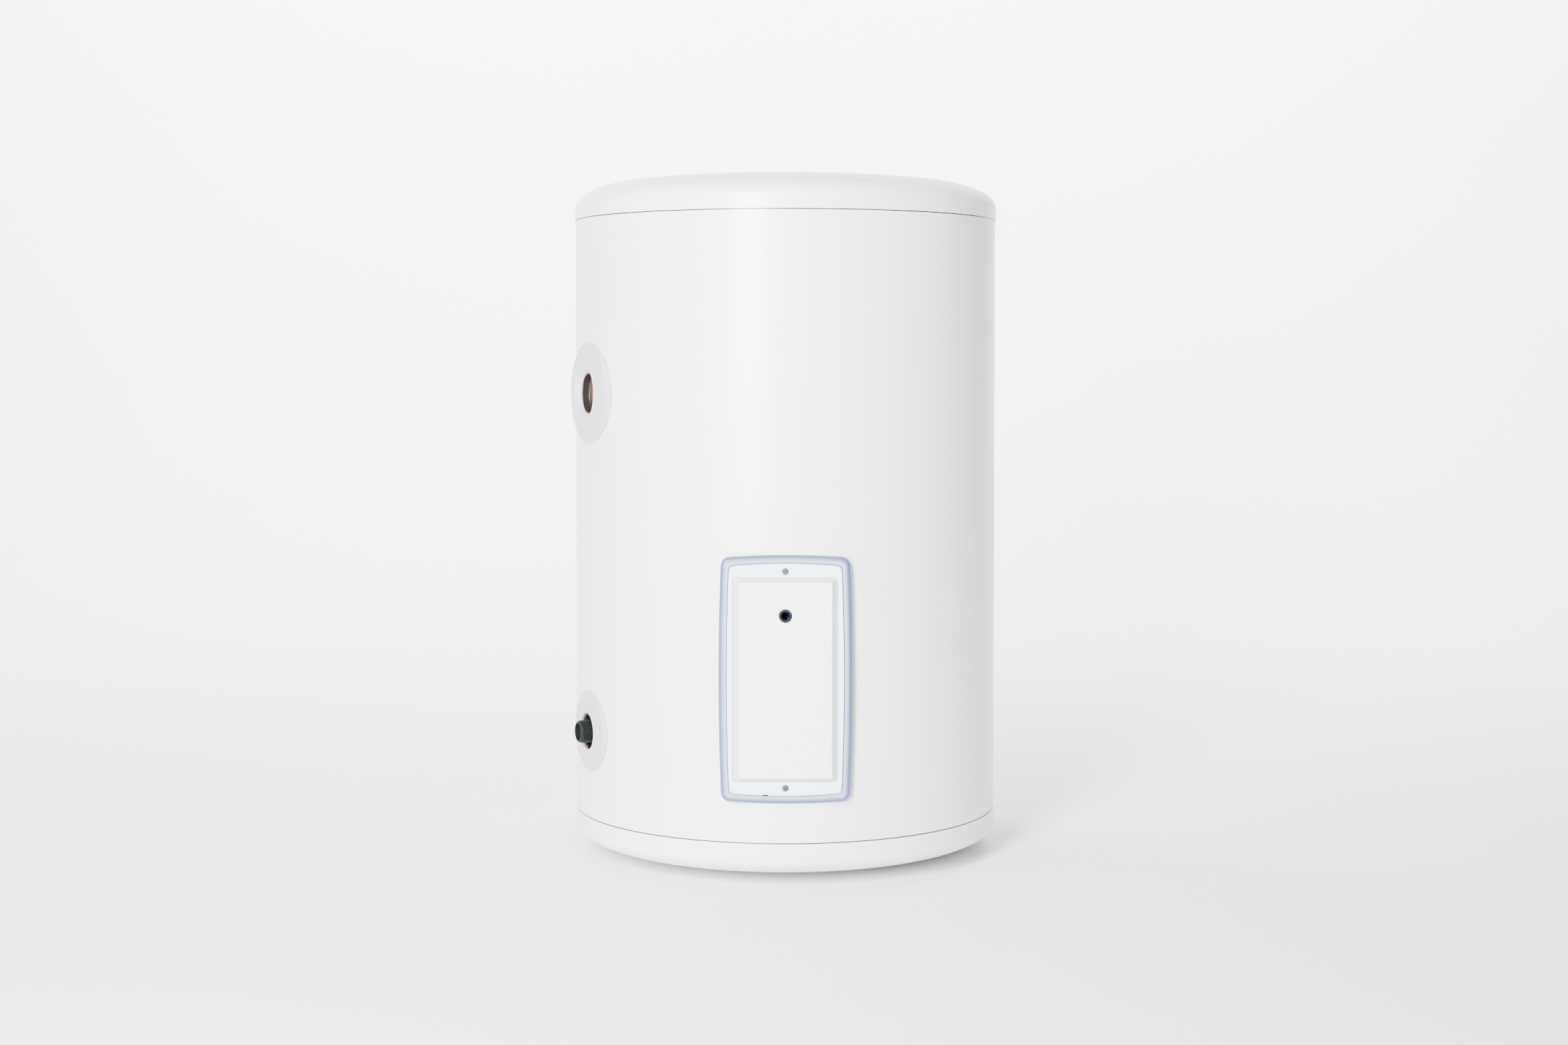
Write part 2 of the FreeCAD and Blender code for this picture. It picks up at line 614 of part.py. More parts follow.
def access_cover():
    """A moulded cover: a flat flange, a raised panel with sloping sides, and a hollow back."""
    flange = slab(COVER_W, COVER_H, 6, COVER_FRONT, COVER_FRONT + COVER_T, BOW)
    flange = flange.makeFillet(1.6, front_rim(flange, COVER_FRONT))
    foot, front = outline(RAISED_W, RAISED_H, 4, COVER_FRONT + 1), outline(FACE_W, FACE_H, 3, PANEL_FRONT)
    raised = Part.makeLoft([foot, front], True, True)
    back = outline(RAISED_W - COVER_T, RAISED_H - COVER_T, 3, COVER_FRONT + COVER_T + 0.5)
    roof = outline(FACE_W - COVER_T, FACE_H - COVER_T, 2, PANEL_FRONT + COVER_T)
    hollow = Part.makeLoft([back, roof], True, True)
    cable = along_y(6, 0, COVER_Z + CABLE_DZ, OUTSIDE, face(5))
    holes = [along_y(2.4, 0, COVER_Z + s * SCREW_DZ, OUTSIDE, face(5)) for s in (-1, 1)]
    sinks = [along_y(4.1, 0, COVER_Z + s * SCREW_DZ, OUTSIDE, COVER_FRONT + 1.2) for s in (-1, 1)]
    lower_edge = COVER_Z - COVER_H
    notch = block((PRY_X - 3, PRY_X + 3), (OUTSIDE, face(5)), (lower_edge - 1, lower_edge + 2.4))
    return minus(union([flange, raised]), hollow, cable, notch, *holes, *sinks)


def cable_grommet():
    """A rubber bush in the cover, grooved to grip its edge, that the supply cable enters through."""
    z = COVER_Z + CABLE_DZ
    front, back = PANEL_FRONT, PANEL_FRONT + COVER_T
    parts = [along_y(7.4, 0, z, front - 1.2, front), along_y(6, 0, z, front - 0.5, back + 0.5)]
    parts.append(along_y(7.4, 0, z, back, back + 1.5))
    return union(parts).cut(along_y(CABLE_R, 0, z, OUTSIDE, INSIDE))


def cover_screw(sign):
    """A pan-head cross-recess screw through the cover into the well's boss."""
    z = COVER_Z + sign * SCREW_DZ
    seat = COVER_FRONT + 1.2
    screw = union([along_y(3.2, 0, z, seat - 2.0, seat), along_y(2.0, 0, z, seat - 1, face(19))])
    screw = screw.makeFillet(0.8, front_rim(screw, seat - 2.0))
    cross = union([
        block((-2, 2), (seat - 3, seat - 1.0), (z - 0.45, z + 0.45)),
        block((-0.45, 0.45), (seat - 3, seat - 1.0), (z - 2, z + 2)),
    ])
    return screw.cut(cross)


def control_bracket():
    """A folded plate standing off the tank that carries the controls."""
    back = BRACKET_FRONT + BRACKET_T
    plate = block((-BRACKET_W, BRACKET_W), (BRACKET_FRONT, back), (BRACKET_LOW, BRACKET_HIGH))
    wings = [
        block((x, x + BRACKET_T), (BRACKET_FRONT, 20 - TANK_R), (BRACKET_LOW, BRACKET_HIGH))
        for x in (-BRACKET_W, BRACKET_W - BRACKET_T)
    ]
    return union([plate, *wings]).cut(barrel(TANK_R + 0.05))


def rounded_box(x_mid, z_mid, half_w, half_h, y_front, y_back, corner):
    return slab(half_w, half_h, corner, y_front, y_back, z_mid=z_mid).translated(vec(x_mid, 0, 0))


def thermostat_body():
    x, z = THERMOSTAT_X, THERMOSTAT_Z
    body = rounded_box(x, z, 22, 20, THERMOSTAT_FRONT, BRACKET_FRONT, 3)
    bush = along_y(5.5, x, z, THERMOSTAT_FRONT - 2, THERMOSTAT_FRONT)
    tabs = [block((x + dx - 3, x + dx + 3), (TAB_Y - 0.8, TAB_Y), (z + 19, z + 27)) for dx in (-11, 11)]
    bore = along_y(3 + RUN_CLEARANCE, x, z, THERMOSTAT_FRONT - 4, THERMOSTAT_FRONT + 7)
    return union([body, bush, *tabs]).cut(bore)


def thermostat_knob():
    x, z = THERMOSTAT_X, THERMOSTAT_Z
    front, back = THERMOSTAT_FRONT - 12, THERMOSTAT_FRONT - 2.6
    skirt = along_y(13, x, z, back - 3, back)
    grip = along_y(9.5, x, z, front, back - 2)
    pointer = block((x - 1.2, x + 1.2), (front - 1.2, front + 1), (z, z + 9))
    shaft = along_y(3, x, z, back - 1, THERMOSTAT_FRONT + 6)
    return union([skirt, grip, pointer, shaft])


def thermostat_capillary():
    """The sensing bulb in its pocket and the fine tube from it up to the thermostat."""
    z = FLANGE_Z + POCKET_DZ
    out = face(14)
    bulb = along_y(3.2, 0, z, 10 - TANK_R, 100 - TANK_R)
    points = [
        (0, 12 - TANK_R, z), (0, out, z), (-8, out, z + 14), (-14, TAB_Y, z + 28),
        (-14, TAB_Y, THERMOSTAT_Z - 20),
    ]
    return union([bulb, bent_bar(points, 1.0, 4)])


def limiter_body():
    x, z = LIMITER_X, LIMITER_Z
    body = rounded_box(x, z, 16, 16, LIMITER_FRONT, BRACKET_FRONT, 3)
    tab_x, tab_y = (x - 11, x - 5), (TAB_Y - 0.8, TAB_Y)
    tabs = [block(tab_x, tab_y, (z + s * 19.5 - 4, z + s * 19.5 + 4)) for s in (-1, 1)]
    nose = along_y(6.5, x, z, LIMITER_FRONT - 2, LIMITER_FRONT)
    bore = along_y(4 + RUN_CLEARANCE, x, z, LIMITER_FRONT - 3, LIMITER_FRONT + 8)
    return union([body, nose, *tabs]).cut(bore)


def reset_button():
    x, z = LIMITER_X, LIMITER_Z
    button = along_y(4, x, z, LIMITER_FRONT - 5.5, LIMITER_FRONT + 5)
    rim = [e for e in button.Edges if e.BoundBox.YMax < LIMITER_FRONT - 5 and e.BoundBox.YLength < 0.01]
    return button.makeFillet(1.0, rim)


def pole_places():
    return [-POLE_PITCH, 0.0, POLE_PITCH]


def terminal_block():
    body = block((-32, 32), (BLOCK_FRONT, BRACKET_FRONT), (BLOCK_Z - 11, BLOCK_Z + 11))
    tall = (BLOCK_Z - 11, BLOCK_Z + 11)
    walls = [block((x - 1, x + 1), (BLOCK_FRONT - 3, BLOCK_FRONT), tall) for x in (-30, -10, 10, 30)]
    screw_wells = [along_y(4.4, x, BLOCK_Z, BLOCK_FRONT - 4, BLOCK_FRONT + 9) for x in pole_places()]
    entries = [cylinder(2.6, vec(x, face(21), BLOCK_Z - 12), Z, 24) for x in pole_places()]
    return minus(union([body, *walls]), *screw_wells, *entries)


def terminal_screws():
    screws = []
    for x in pole_places():
        head = along_y(3.6, x, BLOCK_Z, BLOCK_FRONT + 2, BLOCK_FRONT + 6.2)
        slot = block((x - 4, x + 4), (BLOCK_FRONT + 1, BLOCK_FRONT + 3.2), (BLOCK_Z - 0.5, BLOCK_Z + 0.5))
        screws.append(head.cut(slot))
    return Part.makeCompound(screws)


def earth_stud():
    stud = along_y(2.5, EARTH_X, EARTH_Z, BRACKET_FRONT - 15, BRACKET_FRONT)
    base = hexagon(8, vec(EARTH_X, BRACKET_FRONT, EARTH_Z), -Y, 4)
    clamp = hexagon(8, vec(EARTH_X, BRACKET_FRONT - 7.5, EARTH_Z), -Y, 4)
    return union([stud, base, clamp])


# ---------------------------------------------------------------- internal wiring
def wires():
    """Five insulated leads, each a bar along its own rounded route."""
    tab_y, entry_y, front_y = TAB_Y - 0.8 - WIRE_R, face(21), face(8.5)
    tab_top, limiter_top, limiter_low = THERMOSTAT_Z + 27, LIMITER_Z + 23.5, LIMITER_Z - 23.5
    block_low = BLOCK_Z - 11
    bend_z = BLOCK_Z - 22
    link_y = LEG_END - 10
    left_tab, right_tab, limit_tab = THERMOSTAT_X - 11, THERMOSTAT_X + 11, LIMITER_X - 8
    return {
        "wire_live": [
            (-20, entry_y, block_low + 4), (-20, entry_y, bend_z), (left_tab, tab_y, bend_z - 8),
            (left_tab, tab_y, tab_top - 6),
        ],
        "wire_link": [
            (right_tab, tab_y, tab_top - 6), (right_tab, tab_y, bend_z - 7), (limit_tab, tab_y, bend_z - 7),
            (limit_tab, tab_y, limiter_top - 6),
        ],
        "wire_switched": [
            (limit_tab, tab_y, limiter_low + 6), (limit_tab, front_y, limiter_low - 12),
            (36, front_y, FLANGE_Z + 36), (33, link_y, FLANGE_Z + ELEMENT_DZ + 8),
            (ELEMENT_X + 3.4, link_y, FLANGE_Z + ELEMENT_DZ + 2),
        ],
        "wire_neutral": [
            (0, entry_y, block_low + 4), (0, entry_y, bend_z + 1), (4, front_y, bend_z - 12),
            (4, front_y, FLANGE_Z + 60), (-38, front_y + 2, FLANGE_Z + 40), (-38, link_y, FLANGE_Z + 8),
            (-ELEMENT_X - 3.4, link_y, FLANGE_Z - ELEMENT_DZ + 2),
        ],
        "wire_earth": [
            (20, entry_y, block_low + 4), (20, entry_y, bend_z + 2), (30, BRACKET_FRONT - 6, bend_z - 5),
            (EARTH_X - 4.4, BRACKET_FRONT - 5.8, EARTH_Z + 1),
        ],
    }


# ---------------------------------------------------------------- levelling feet
def foot_pad(place):
    pad = cylinder(FOOT_R, place, Z, FOOT_PAD_H)
    pad = pad.makeFillet(1.5, [e for e in pad.Edges if e.BoundBox.ZLength < 0.01])
    return pad.cut(cylinder(STEM_R + 0.1, place + Z * 4, Z, 10))


def foot_stem(place):
    stem = cylinder(STEM_R, place + Z * 4, Z, STEM_TOP - 4)
    return union([stem, hexagon(17, place + Z * FOOT_PAD_H, Z, 3.4)])


# ---------------------------------------------------------------- build and export
def build():
    parts = {
        "outer_jacket": outer_jacket(),
        "top_cap": top_cap(),
        "base_pan": base_pan(),
        "foam_top": foam_top(),
        "foam_barrel": foam_barrel(),
        "foam_bottom": foam_bottom(),
        "tank_barrel": tank_barrel(),
        "tank_top_head": tank_head(TANK_HIGH, 1),
        "tank_bottom_head": tank_head(TANK_LOW, -1),
        "support_legs": support_legs(),
        "hot_outlet_socket": hot_outlet_socket(),
        "hot_outlet_collar": hot_outlet_collar(),
        "hot_riser_pipe": hot_riser_pipe(),
        "cold_inlet_socket": cold_inlet_socket(),
        "cold_inlet_nipple": cold_inlet_nipple(),
        "cold_inlet_collar": cold_inlet_collar(),
        "inlet_diffuser": inlet_diffuser(),
        "flange_neck": flange_neck(),
        "flange_gasket": flange_gasket(),
        "flange_plate": flange_plate(),
        "flange_studs": flange_studs(),
        "flange_washers": flange_washers(),
        "flange_nuts": flange_nuts(),
        "heating_element_left": heating_element(-1),
        "heating_element_right": heating_element(1),
        "element_insulators": element_insulators(),
        "element_pins": element_pins(),
        "element_links": element_links(),
        "element_link_nuts": element_link_nuts(),
        "thermostat_pocket": thermostat_pocket(),
        "thermostat_capillary": thermostat_capillary(),
        "anode_rod": anode_rod(),
        "anode_nut": anode_nut(),
        "service_well": service_well(),
        "cover_frame": cover_frame(),
        "access_cover": access_cover(),
        "cable_grommet": cable_grommet(),
        "cover_screw_top": cover_screw(1),
        "cover_screw_bottom": cover_screw(-1),
        "control_bracket": control_bracket(),
        "thermostat_body": thermostat_body(),
        "thermostat_knob": thermostat_knob(),
        "limiter_body": limiter_body(),
        "reset_button": reset_button(),
        "terminal_block": terminal_block(),
        "terminal_screws": terminal_screws(),
        "earth_stud": earth_stud(),
    }
    for name, points in wires().items():
        parts[name] = bent_bar(points, WIRE_R, 3.2)
    for name, place in foot_places():
        parts[f"foot_{name}_pad"] = foot_pad(place)
        parts[f"foot_{name}_stem"] = foot_stem(place)
    return parts


def export(parts):
    os.makedirs("parts", exist_ok=True)
    for name, shape in parts.items():
        solids = shape.Solids
        if not solids or not shape.isValid():
            print("PROBLEM", name, "solids", len(solids), "valid", shape.isValid())
        shape.exportStep(f"parts/{name}.step")
        print(f"{name}: {len(solids)} solid(s), {shape.Volume / 1000:.2f} cm3")


export(build())
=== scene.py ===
"""The looks of a tank water heater, modelled round its CAD frame.

Sizes are in millimetres. A piece is shaped in millimetres and becomes metres when it is finished.
Pieces on the front and on the pipe connections are shaped facing +Z, then turned to face outwards.
"""

import logging
import math
from dataclasses import dataclass, field
from enum import Enum
from typing import Iterable, Sequence, Union

import bmesh
import bpy
from mathutils import Matrix, Vector


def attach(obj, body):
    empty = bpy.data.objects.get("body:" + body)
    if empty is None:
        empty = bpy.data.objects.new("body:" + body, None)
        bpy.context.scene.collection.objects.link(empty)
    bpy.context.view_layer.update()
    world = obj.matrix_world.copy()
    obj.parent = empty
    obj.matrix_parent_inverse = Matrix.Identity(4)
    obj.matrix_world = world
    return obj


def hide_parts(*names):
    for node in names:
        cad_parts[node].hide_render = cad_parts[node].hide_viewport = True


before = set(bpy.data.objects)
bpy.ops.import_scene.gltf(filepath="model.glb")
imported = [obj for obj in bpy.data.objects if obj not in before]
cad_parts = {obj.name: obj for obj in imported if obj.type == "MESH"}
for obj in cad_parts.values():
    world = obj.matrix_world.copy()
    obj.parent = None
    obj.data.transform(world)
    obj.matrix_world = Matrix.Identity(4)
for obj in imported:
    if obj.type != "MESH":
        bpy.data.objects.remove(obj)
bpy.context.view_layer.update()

MM = 0.001
JACKET_R = 250.0
HATCH_HEIGHT = 234.0
UP = Vector((0.0, 0.0, 1.0))
FRONT_WAY = Vector((0.0, -1.0, 0.0))
PORT_WAY = Vector((-math.sin(math.radians(65)), -math.cos(math.radians(65)), 0.0))
PORT_ACROSS = UP.cross(PORT_WAY)
SEAT_GAP = 0.1
SHARP_ANGLE = math.radians(38)
THREAD_SINK, THREAD_HALF, THREAD_CREST = 0.12, 0.46, 0.14
log = logging.getLogger("heater")

Colour = tuple[float, float, float]
Corner = tuple[float, float, float]
Spot = tuple[float, float]
Edges = list[bmesh.types.BMEdge]
Value = Union["Wire", float, tuple]


class Port(Enum):
    """The two pipe connections."""

    HOT = "hot_outlet"
    COLD = "cold_inlet"


PORT_HEIGHT = {Port.HOT: 546.0, Port.COLD: 154.0}


# ---------------------------------------------------------------- materials
class Wire:
    """One value in a material's graph. Arithmetic on it adds maths nodes."""

    def __init__(self, graph: "Graph", socket: bpy.types.NodeSocket) -> None:
        """Keeps the graph and the output socket that carries the value."""
        self.graph = graph
        self.socket = socket

    def maths(self, operation: str, *values: Value) -> "Wire":
        """Adds one maths node.

        Args:
            operation: the node's operation, such as "ADD".
            values: its inputs in order.

        Returns:
            The node's result.
        """
        return self.graph.node("ShaderNodeMath", {"operation": operation}, dict(enumerate(values)))

    def __add__(self, other: Value) -> "Wire":
        """self + other."""
        return self.maths("ADD", self, other)

    def __radd__(self, other: Value) -> "Wire":
        """other + self."""
        return self.maths("ADD", other, self)

    def __sub__(self, other: Value) -> "Wire":
        """self - other."""
        return self.maths("SUBTRACT", self, other)

    def __rsub__(self, other: Value) -> "Wire":
        """other - self."""
        return self.maths("SUBTRACT", other, self)

    def __mul__(self, other: Value) -> "Wire":
        """self * other."""
        return self.maths("MULTIPLY", self, other)

    def __rmul__(self, other: Value) -> "Wire":
        """other * self."""
        return self.maths("MULTIPLY", other, self)

    def __truediv__(self, other: Value) -> "Wire":
        """self / other."""
        return self.maths("DIVIDE", self, other)

    def __rtruediv__(self, other: Value) -> "Wire":
        """other / self."""
        return self.maths("DIVIDE", other, self)

    def __pow__(self, other: Value) -> "Wire":
        """self to the power other."""
        return self.maths("POWER", self, other)

    def __rpow__(self, other: Value) -> "Wire":
        """other to the power self."""
        return self.maths("POWER", other, self)

    def __abs__(self) -> "Wire":
        """self without its sign."""
        return self.maths("ABSOLUTE", self)

    def fraction(self) -> "Wire":
        """The part after the decimal point."""
        return self.maths("FRACT", self)

    def at_least(self, level: Value) -> "Wire":
        """self, or level where that is more."""
        return self.maths("MAXIMUM", self, level)

    def above(self, level: Value) -> "Wire":
        """1 where self is more than level, otherwise 0."""
        return self.maths("GREATER_THAN", self, level)

    def step(self, low: float, high: float) -> "Wire":
        """Rises smoothly from 0 at low to 1 at high."""
        settings = {"interpolation_type": "SMOOTHSTEP"}
        return self.graph.node("ShaderNodeMapRange", settings, {0: self, 1: low, 2: high, 3: 0.0, 4: 1.0})


class Graph:
    """A material under construction."""

    def __init__(self, name: str) -> None:
        """Starts an empty material.

        Args:
            name: the material's name.
        """
        self.material = bpy.data.materials.new(name)
        self.material.use_nodes = True
        self.tree = self.material.node_tree
        self.tree.nodes.clear()

    def node(self, kind: str, settings: dict | None = None, sockets: dict | None = None,
             output: int | str = 0) -> Wire:
        """Adds one node.

        Args:
            kind: the node's type name.
            settings: properties to set on it.
            sockets: values or wires for its inputs, by name or number.
            output: which output to return, by name or number.

        Returns:
            The chosen output.
        """
        node = self.tree.nodes.new(kind)
        for key, value in (settings or {}).items():
            setattr(node, key, value)
        for key, value in (sockets or {}).items():
            if isinstance(value, Wire):
                self.tree.links.new(value.socket, node.inputs[key])
            else:
                node.inputs[key].default_value = value
        return Wire(self, node.outputs[output])

    def place(self) -> Wire:
        """The point on the object, in metres."""
        return self.node("ShaderNodeTexCoord", output="Object")

    def axes(self, vector: Wire) -> list[Wire]:
        """The three numbers of a vector."""
        first = self.node("ShaderNodeSeparateXYZ", sockets={0: vector})
        return [Wire(self, socket) for socket in first.socket.node.outputs]

    def stretch(self, vector: Wire, scale: Colour) -> Wire:
        """A vector scaled by a different amount along each axis."""
        return self.node("ShaderNodeVectorMath", {"operation": "MULTIPLY"}, {0: vector, 1: scale})

    def noise(self, vector: Wire, size: float, detail: float = 2.0) -> Wire:
        """Smooth noise between 0 and 1.

        Args:
            vector: where to read it, in metres.
            size: the width of one blotch, in millimetres.
            detail: how many finer layers it has.

        Returns:
            The noise.
        """
        scale = 1 / (size * MM)
        return self.node("ShaderNodeTexNoise", {}, {"Vector": vector, "Scale": scale, "Detail": detail})

    def cells(self, vector: Wire, size: float) -> Wire:
        """The distance to the middle of the nearest cell, with cells size millimetres wide."""
        return self.node("ShaderNodeTexVoronoi", {}, {"Vector": vector, "Scale": 1 / (size * MM)})

    def mix(self, factor: Value, low: Wire | tuple, high: Wire | tuple) -> Wire:
        """Goes from one colour to another as factor goes from 0 to 1."""
        return self.node("ShaderNodeMix", {"data_type": "RGBA"}, {0: factor, 6: low, 7: high}, 2)

    def bump(self, height: Wire, depth: float) -> Wire:
        """A normal shaped by a height of 0 to 1 that stands for depth millimetres."""
        return self.node("ShaderNodeBump", {}, {"Strength": 1.0, "Distance": depth * MM, "Height": height})

    def surface(self, shader: Wire) -> bpy.types.Material:
        """Joins the shader to the material's output and returns the material."""
        output = self.tree.nodes.new("ShaderNodeOutputMaterial")
        self.tree.links.new(shader.socket, output.inputs["Surface"])
        return self.material


class Grain(Enum):
    """The fine texture of a surface."""

    ORANGE_PEEL = "sprayed and stoved enamel"
    SPARKED = "plastic moulded in a fine-textured tool"
    BRUSHED = "metal drawn or brushed along Z"
    DRAWN = "metal drawn along Y"
    CAST = "rough oxidised metal"
    CELLULAR = "cut foam"
    CLOUDY = "rubber or glazed ceramic"


@dataclass(frozen=True)
class Finish:
    """A surface finish.

    Attributes:
        name: the material's name.
        colour: its main colour.
        drift: the colour that it drifts towards in large soft patches.
        rough: the lowest and highest roughness.
        grain: its fine texture.
        size: the width of one mark of that texture, in millimetres.
        depth: how deep the texture is, in millimetres.
        metallic: 1 for bare metal.
        coat: how much clear gloss lies on top.
        coat_rough: how rough that gloss is.
        shine: how strongly the bare surface mirrors light, 0.5 for ordinary plastic and paint.
    """

    name: str
    colour: Colour
    drift: Colour
    rough: tuple[float, float]
    grain: Grain
    size: float
    depth: float
    metallic: float = 0.0
    coat: float = 0.0
    coat_rough: float = 0.1
    shine: float = 0.5

    def relief(self, graph: Graph, at: Wire) -> Wire:
        """The height of the fine texture, from 0 to 1."""
        if self.grain is Grain.BRUSHED:
            return graph.noise(graph.stretch(at, (1.0, 1.0, 0.03)), self.size, 4.0)
        if self.grain is Grain.DRAWN:
            return graph.noise(graph.stretch(at, (1.0, 0.03, 1.0)), self.size, 4.0)
        if self.grain is Grain.CELLULAR:
            return graph.cells(at, self.size) * 0.8 + graph.noise(at, self.size * 3) * 0.4
        if self.grain is Grain.CAST:
            return graph.noise(at, self.size, 8.0) * 0.7 + graph.noise(at, self.size * 5, 3.0) * 0.5
        if self.grain is Grain.SPARKED:
            return graph.noise(at, self.size, 3.0) * 0.6 + graph.cells(at, self.size * 0.8) * 0.4
        return graph.noise(at, self.size, 1.0)

    def tint(self, graph: Graph, at: Wire, relief: Wire) -> Wire:
        """The colour at each point."""
        patches = graph.noise(at, 120.0, 3.0).step(0.3, 0.7)
        dark = tuple(0.72 * c for c in self.colour)
        base = graph.mix(patches * 0.8, (*self.colour, 1.0), (*self.drift, 1.0))
        speckle = (1.0 - relief.step(0.2, 0.5)) * (0.35 if self.depth > 0.05 else 0.12)
        return graph.mix(speckle, base, (*dark, 1.0))

    def material(self) -> bpy.types.Material:
        """The finish as a material, made once."""
        name = f"{self.name}_finish"
        if name in bpy.data.materials:
            return bpy.data.materials[name]
        graph = Graph(name)
        at = graph.place()
        relief = self.relief(graph, at)
        low, high = self.rough
        smears = graph.noise(at, 35.0, 4.0)
        shader = graph.node("ShaderNodeBsdfPrincipled", {}, {
            "Base Color": self.tint(graph, at, relief),
            "Roughness": low + (high - low) * (smears * 0.6 + relief * 0.4),
            "Metallic": self.metallic,
            "Coat Weight": self.coat,
            "Coat Roughness": self.coat_rough,
            "Specular IOR Level": self.shine,
            "Normal": graph.bump(relief, self.depth),
        })
        return graph.surface(shader)


@dataclass(frozen=True)
class Banded(Finish):
    """A finish with bands of a second colour.

    Attributes:
        band: the second colour.
        pitch: the distance from one band to the next, in millimetres.
    """

    band: Colour = (0.75, 0.62, 0.03)
    pitch: float = 9.0

    def tint(self, graph: Graph, at: Wire, relief: Wire) -> Wire:
        """The colour at each point, with slanting bands."""
        x, _, z = graph.axes(at)
        turn = ((z + x * 0.6) / (self.pitch * MM)).fraction()
        return graph.mix(turn.step(0.46, 0.5), super().tint(graph, at, relief), (*self.band, 1.0))


@dataclass(frozen=True)
class Dial(Finish):
    """A knob's finish with printed setting marks round its skirt.

    Attributes:
        centre: the knob's axis, as X and Z in millimetres.
        marks: how many marks fit in a full turn.
        ring: the inner and outer radius of the marks, in millimetres.
    """

    centre: tuple[float, float] = (-23.0, 264.0)
    marks: float = 24.0
    ring: tuple[float, float] = (10.4, 12.4)

    def tint(self, graph: Graph, at: Wire, relief: Wire) -> Wire:
        """The colour at each point, with dark marks round the skirt."""
        x, _, z = graph.axes(at)
        across, up = x - self.centre[0] * MM, z - self.centre[1] * MM
        radius = (across * across + up * up) ** 0.5 / MM
        turn = (graph.node("ShaderNodeMath", {"operation": "ARCTAN2"}, {0: across, 1: up}) / math.tau)
        near = abs((turn * self.marks + 0.5).fraction() - 0.5)
        on_ring = radius.above(self.ring[0]) * (1.0 - radius.above(self.ring[1]))
        used = 1.0 - abs(turn).above(0.38)
        mark = (1.0 - near.step(0.07, 0.11)) * on_ring * used
        return graph.mix(mark, super().tint(graph, at, relief), (0.03, 0.03, 0.035, 1.0))


@dataclass(frozen=True)
class Seamed(Finish):
    """Enamel with painted shade in the grooves where the jacket meets the pressed ends.

    Attributes:
        seams: the height of each seam, in millimetres.
        seam_shade: the colour of the painted shade in the seam grooves.
    """

    seams: tuple[float, float] = (52.6, 749.0)
    seam_shade: Colour = (0.055, 0.058, 0.060)

    def tint(self, graph: Graph, at: Wire, relief: Wire) -> Wire:
        """The colour at each point, with painted shade at the bottom of the two seam grooves."""
        x, y, z = graph.axes(at)
        painted_shade = 1.0 - ((x * x + y * y) ** 0.5).above((JACKET_R - 0.7) * MM)
        near = sum((1.0 - abs(z - height * MM).above(0.62 * MM) for height in self.seams), start=0.0)
        # painted shade: a dark colour in the gap between the jacket and each pressed end
        return graph.mix(painted_shade * near, super().tint(graph, at, relief), (*self.seam_shade, 1.0))


@dataclass(frozen=True)
class Moulding(Finish):
    """A plastic with painted shade where it turns back towards the jacket, and painted shade in the prying
    notch.

    Attributes:
        painted_shade: the colour of the painted shade.
        front: how far from the heater's axis plane the light part starts, in millimetres.
        fade: how far behind that the painted shade is full.
        notch: the middle of the notch, across and above the hatch's middle, in millimetres.
    """

    # painted shade colour for set-back surfaces, used as it stands by the frame
    painted_shade: Colour = (0.080, 0.105, 0.225)
    front: float = 253.58
    fade: float = 0.42
    notch: tuple[float, float] = (-22.0, -127.0)

    def shaded(self, graph: Graph, across: Wire, up: Wire, out: Wire) -> Wire:
        """How much painted shade shows, from 0 to 1.

        Args:
            graph: the material.
            across: the distance to the right of the hatch's middle, in millimetres.
            up: the distance above it.
            out: the distance in front of the heater's axis plane.

        Returns:
            The share.
        """
        return ((self.front - out) / self.fade).step(0.0, 1.0)

    def tint(self, graph: Graph, at: Wire, relief: Wire) -> Wire:
        """The colour at each point, with painted shade where it is set back and in the notch."""
        x, y, z = graph.axes(at)
        across, up, out = x / MM, z / MM - HATCH_HEIGHT, y / -MM
        light = super().tint(graph, at, relief)
        # painted shade on every surface set back behind the front
        colour = graph.mix(self.shaded(graph, across, up, out), light, (*self.painted_shade, 1.0))
        inside = 1.0 - abs(across - self.notch[0]).step(2.7, 3.1)
        inside *= 1.0 - abs(up - self.notch[1]).step(1.9, 2.3)
        # painted shade: near-black inside the prying notch
        return graph.mix(inside * (self.front - out).step(0.2, 0.7), colour, (0.010, 0.010, 0.012, 1.0))


@dataclass(frozen=True)
class Rimmed(Moulding):
    """The frame's plastic, with painted shade all round its rounded edge.

    Attributes:
        half: half width and half height of the frame, in millimetres.
        bow: how far its sides bulge outwards.
        corner: the rounding of its corners.
        band: how far in from the edge the painted shade starts and is full.
    """

    half: tuple[float, float] = (73.5, 137.0)
    bow: float = 2.4
    corner: float = 10.0
    band: tuple[float, float] = (-7.2, -2.6)

    def shaded(self, graph: Graph, across: Wire, up: Wire, out: Wire) -> Wire:
        """The share of painted shade, full at the outer edge of the rounded bead."""
        w, h = (half - self.corner for half in self.half)
        side = (abs(across) + self.bow * (up / h) ** 2.0 - w).at_least(0.0)
        end = (abs(up) + self.bow * (across / w) ** 2.0 - h).at_least(0.0)
        edge = (side * side + end * end) ** 0.5 - self.corner
        # painted shade on the bead's rounded outer edge, where its curve turns away from the light
        return edge.step(*self.band).at_least(super().shaded(graph, across, up, out))


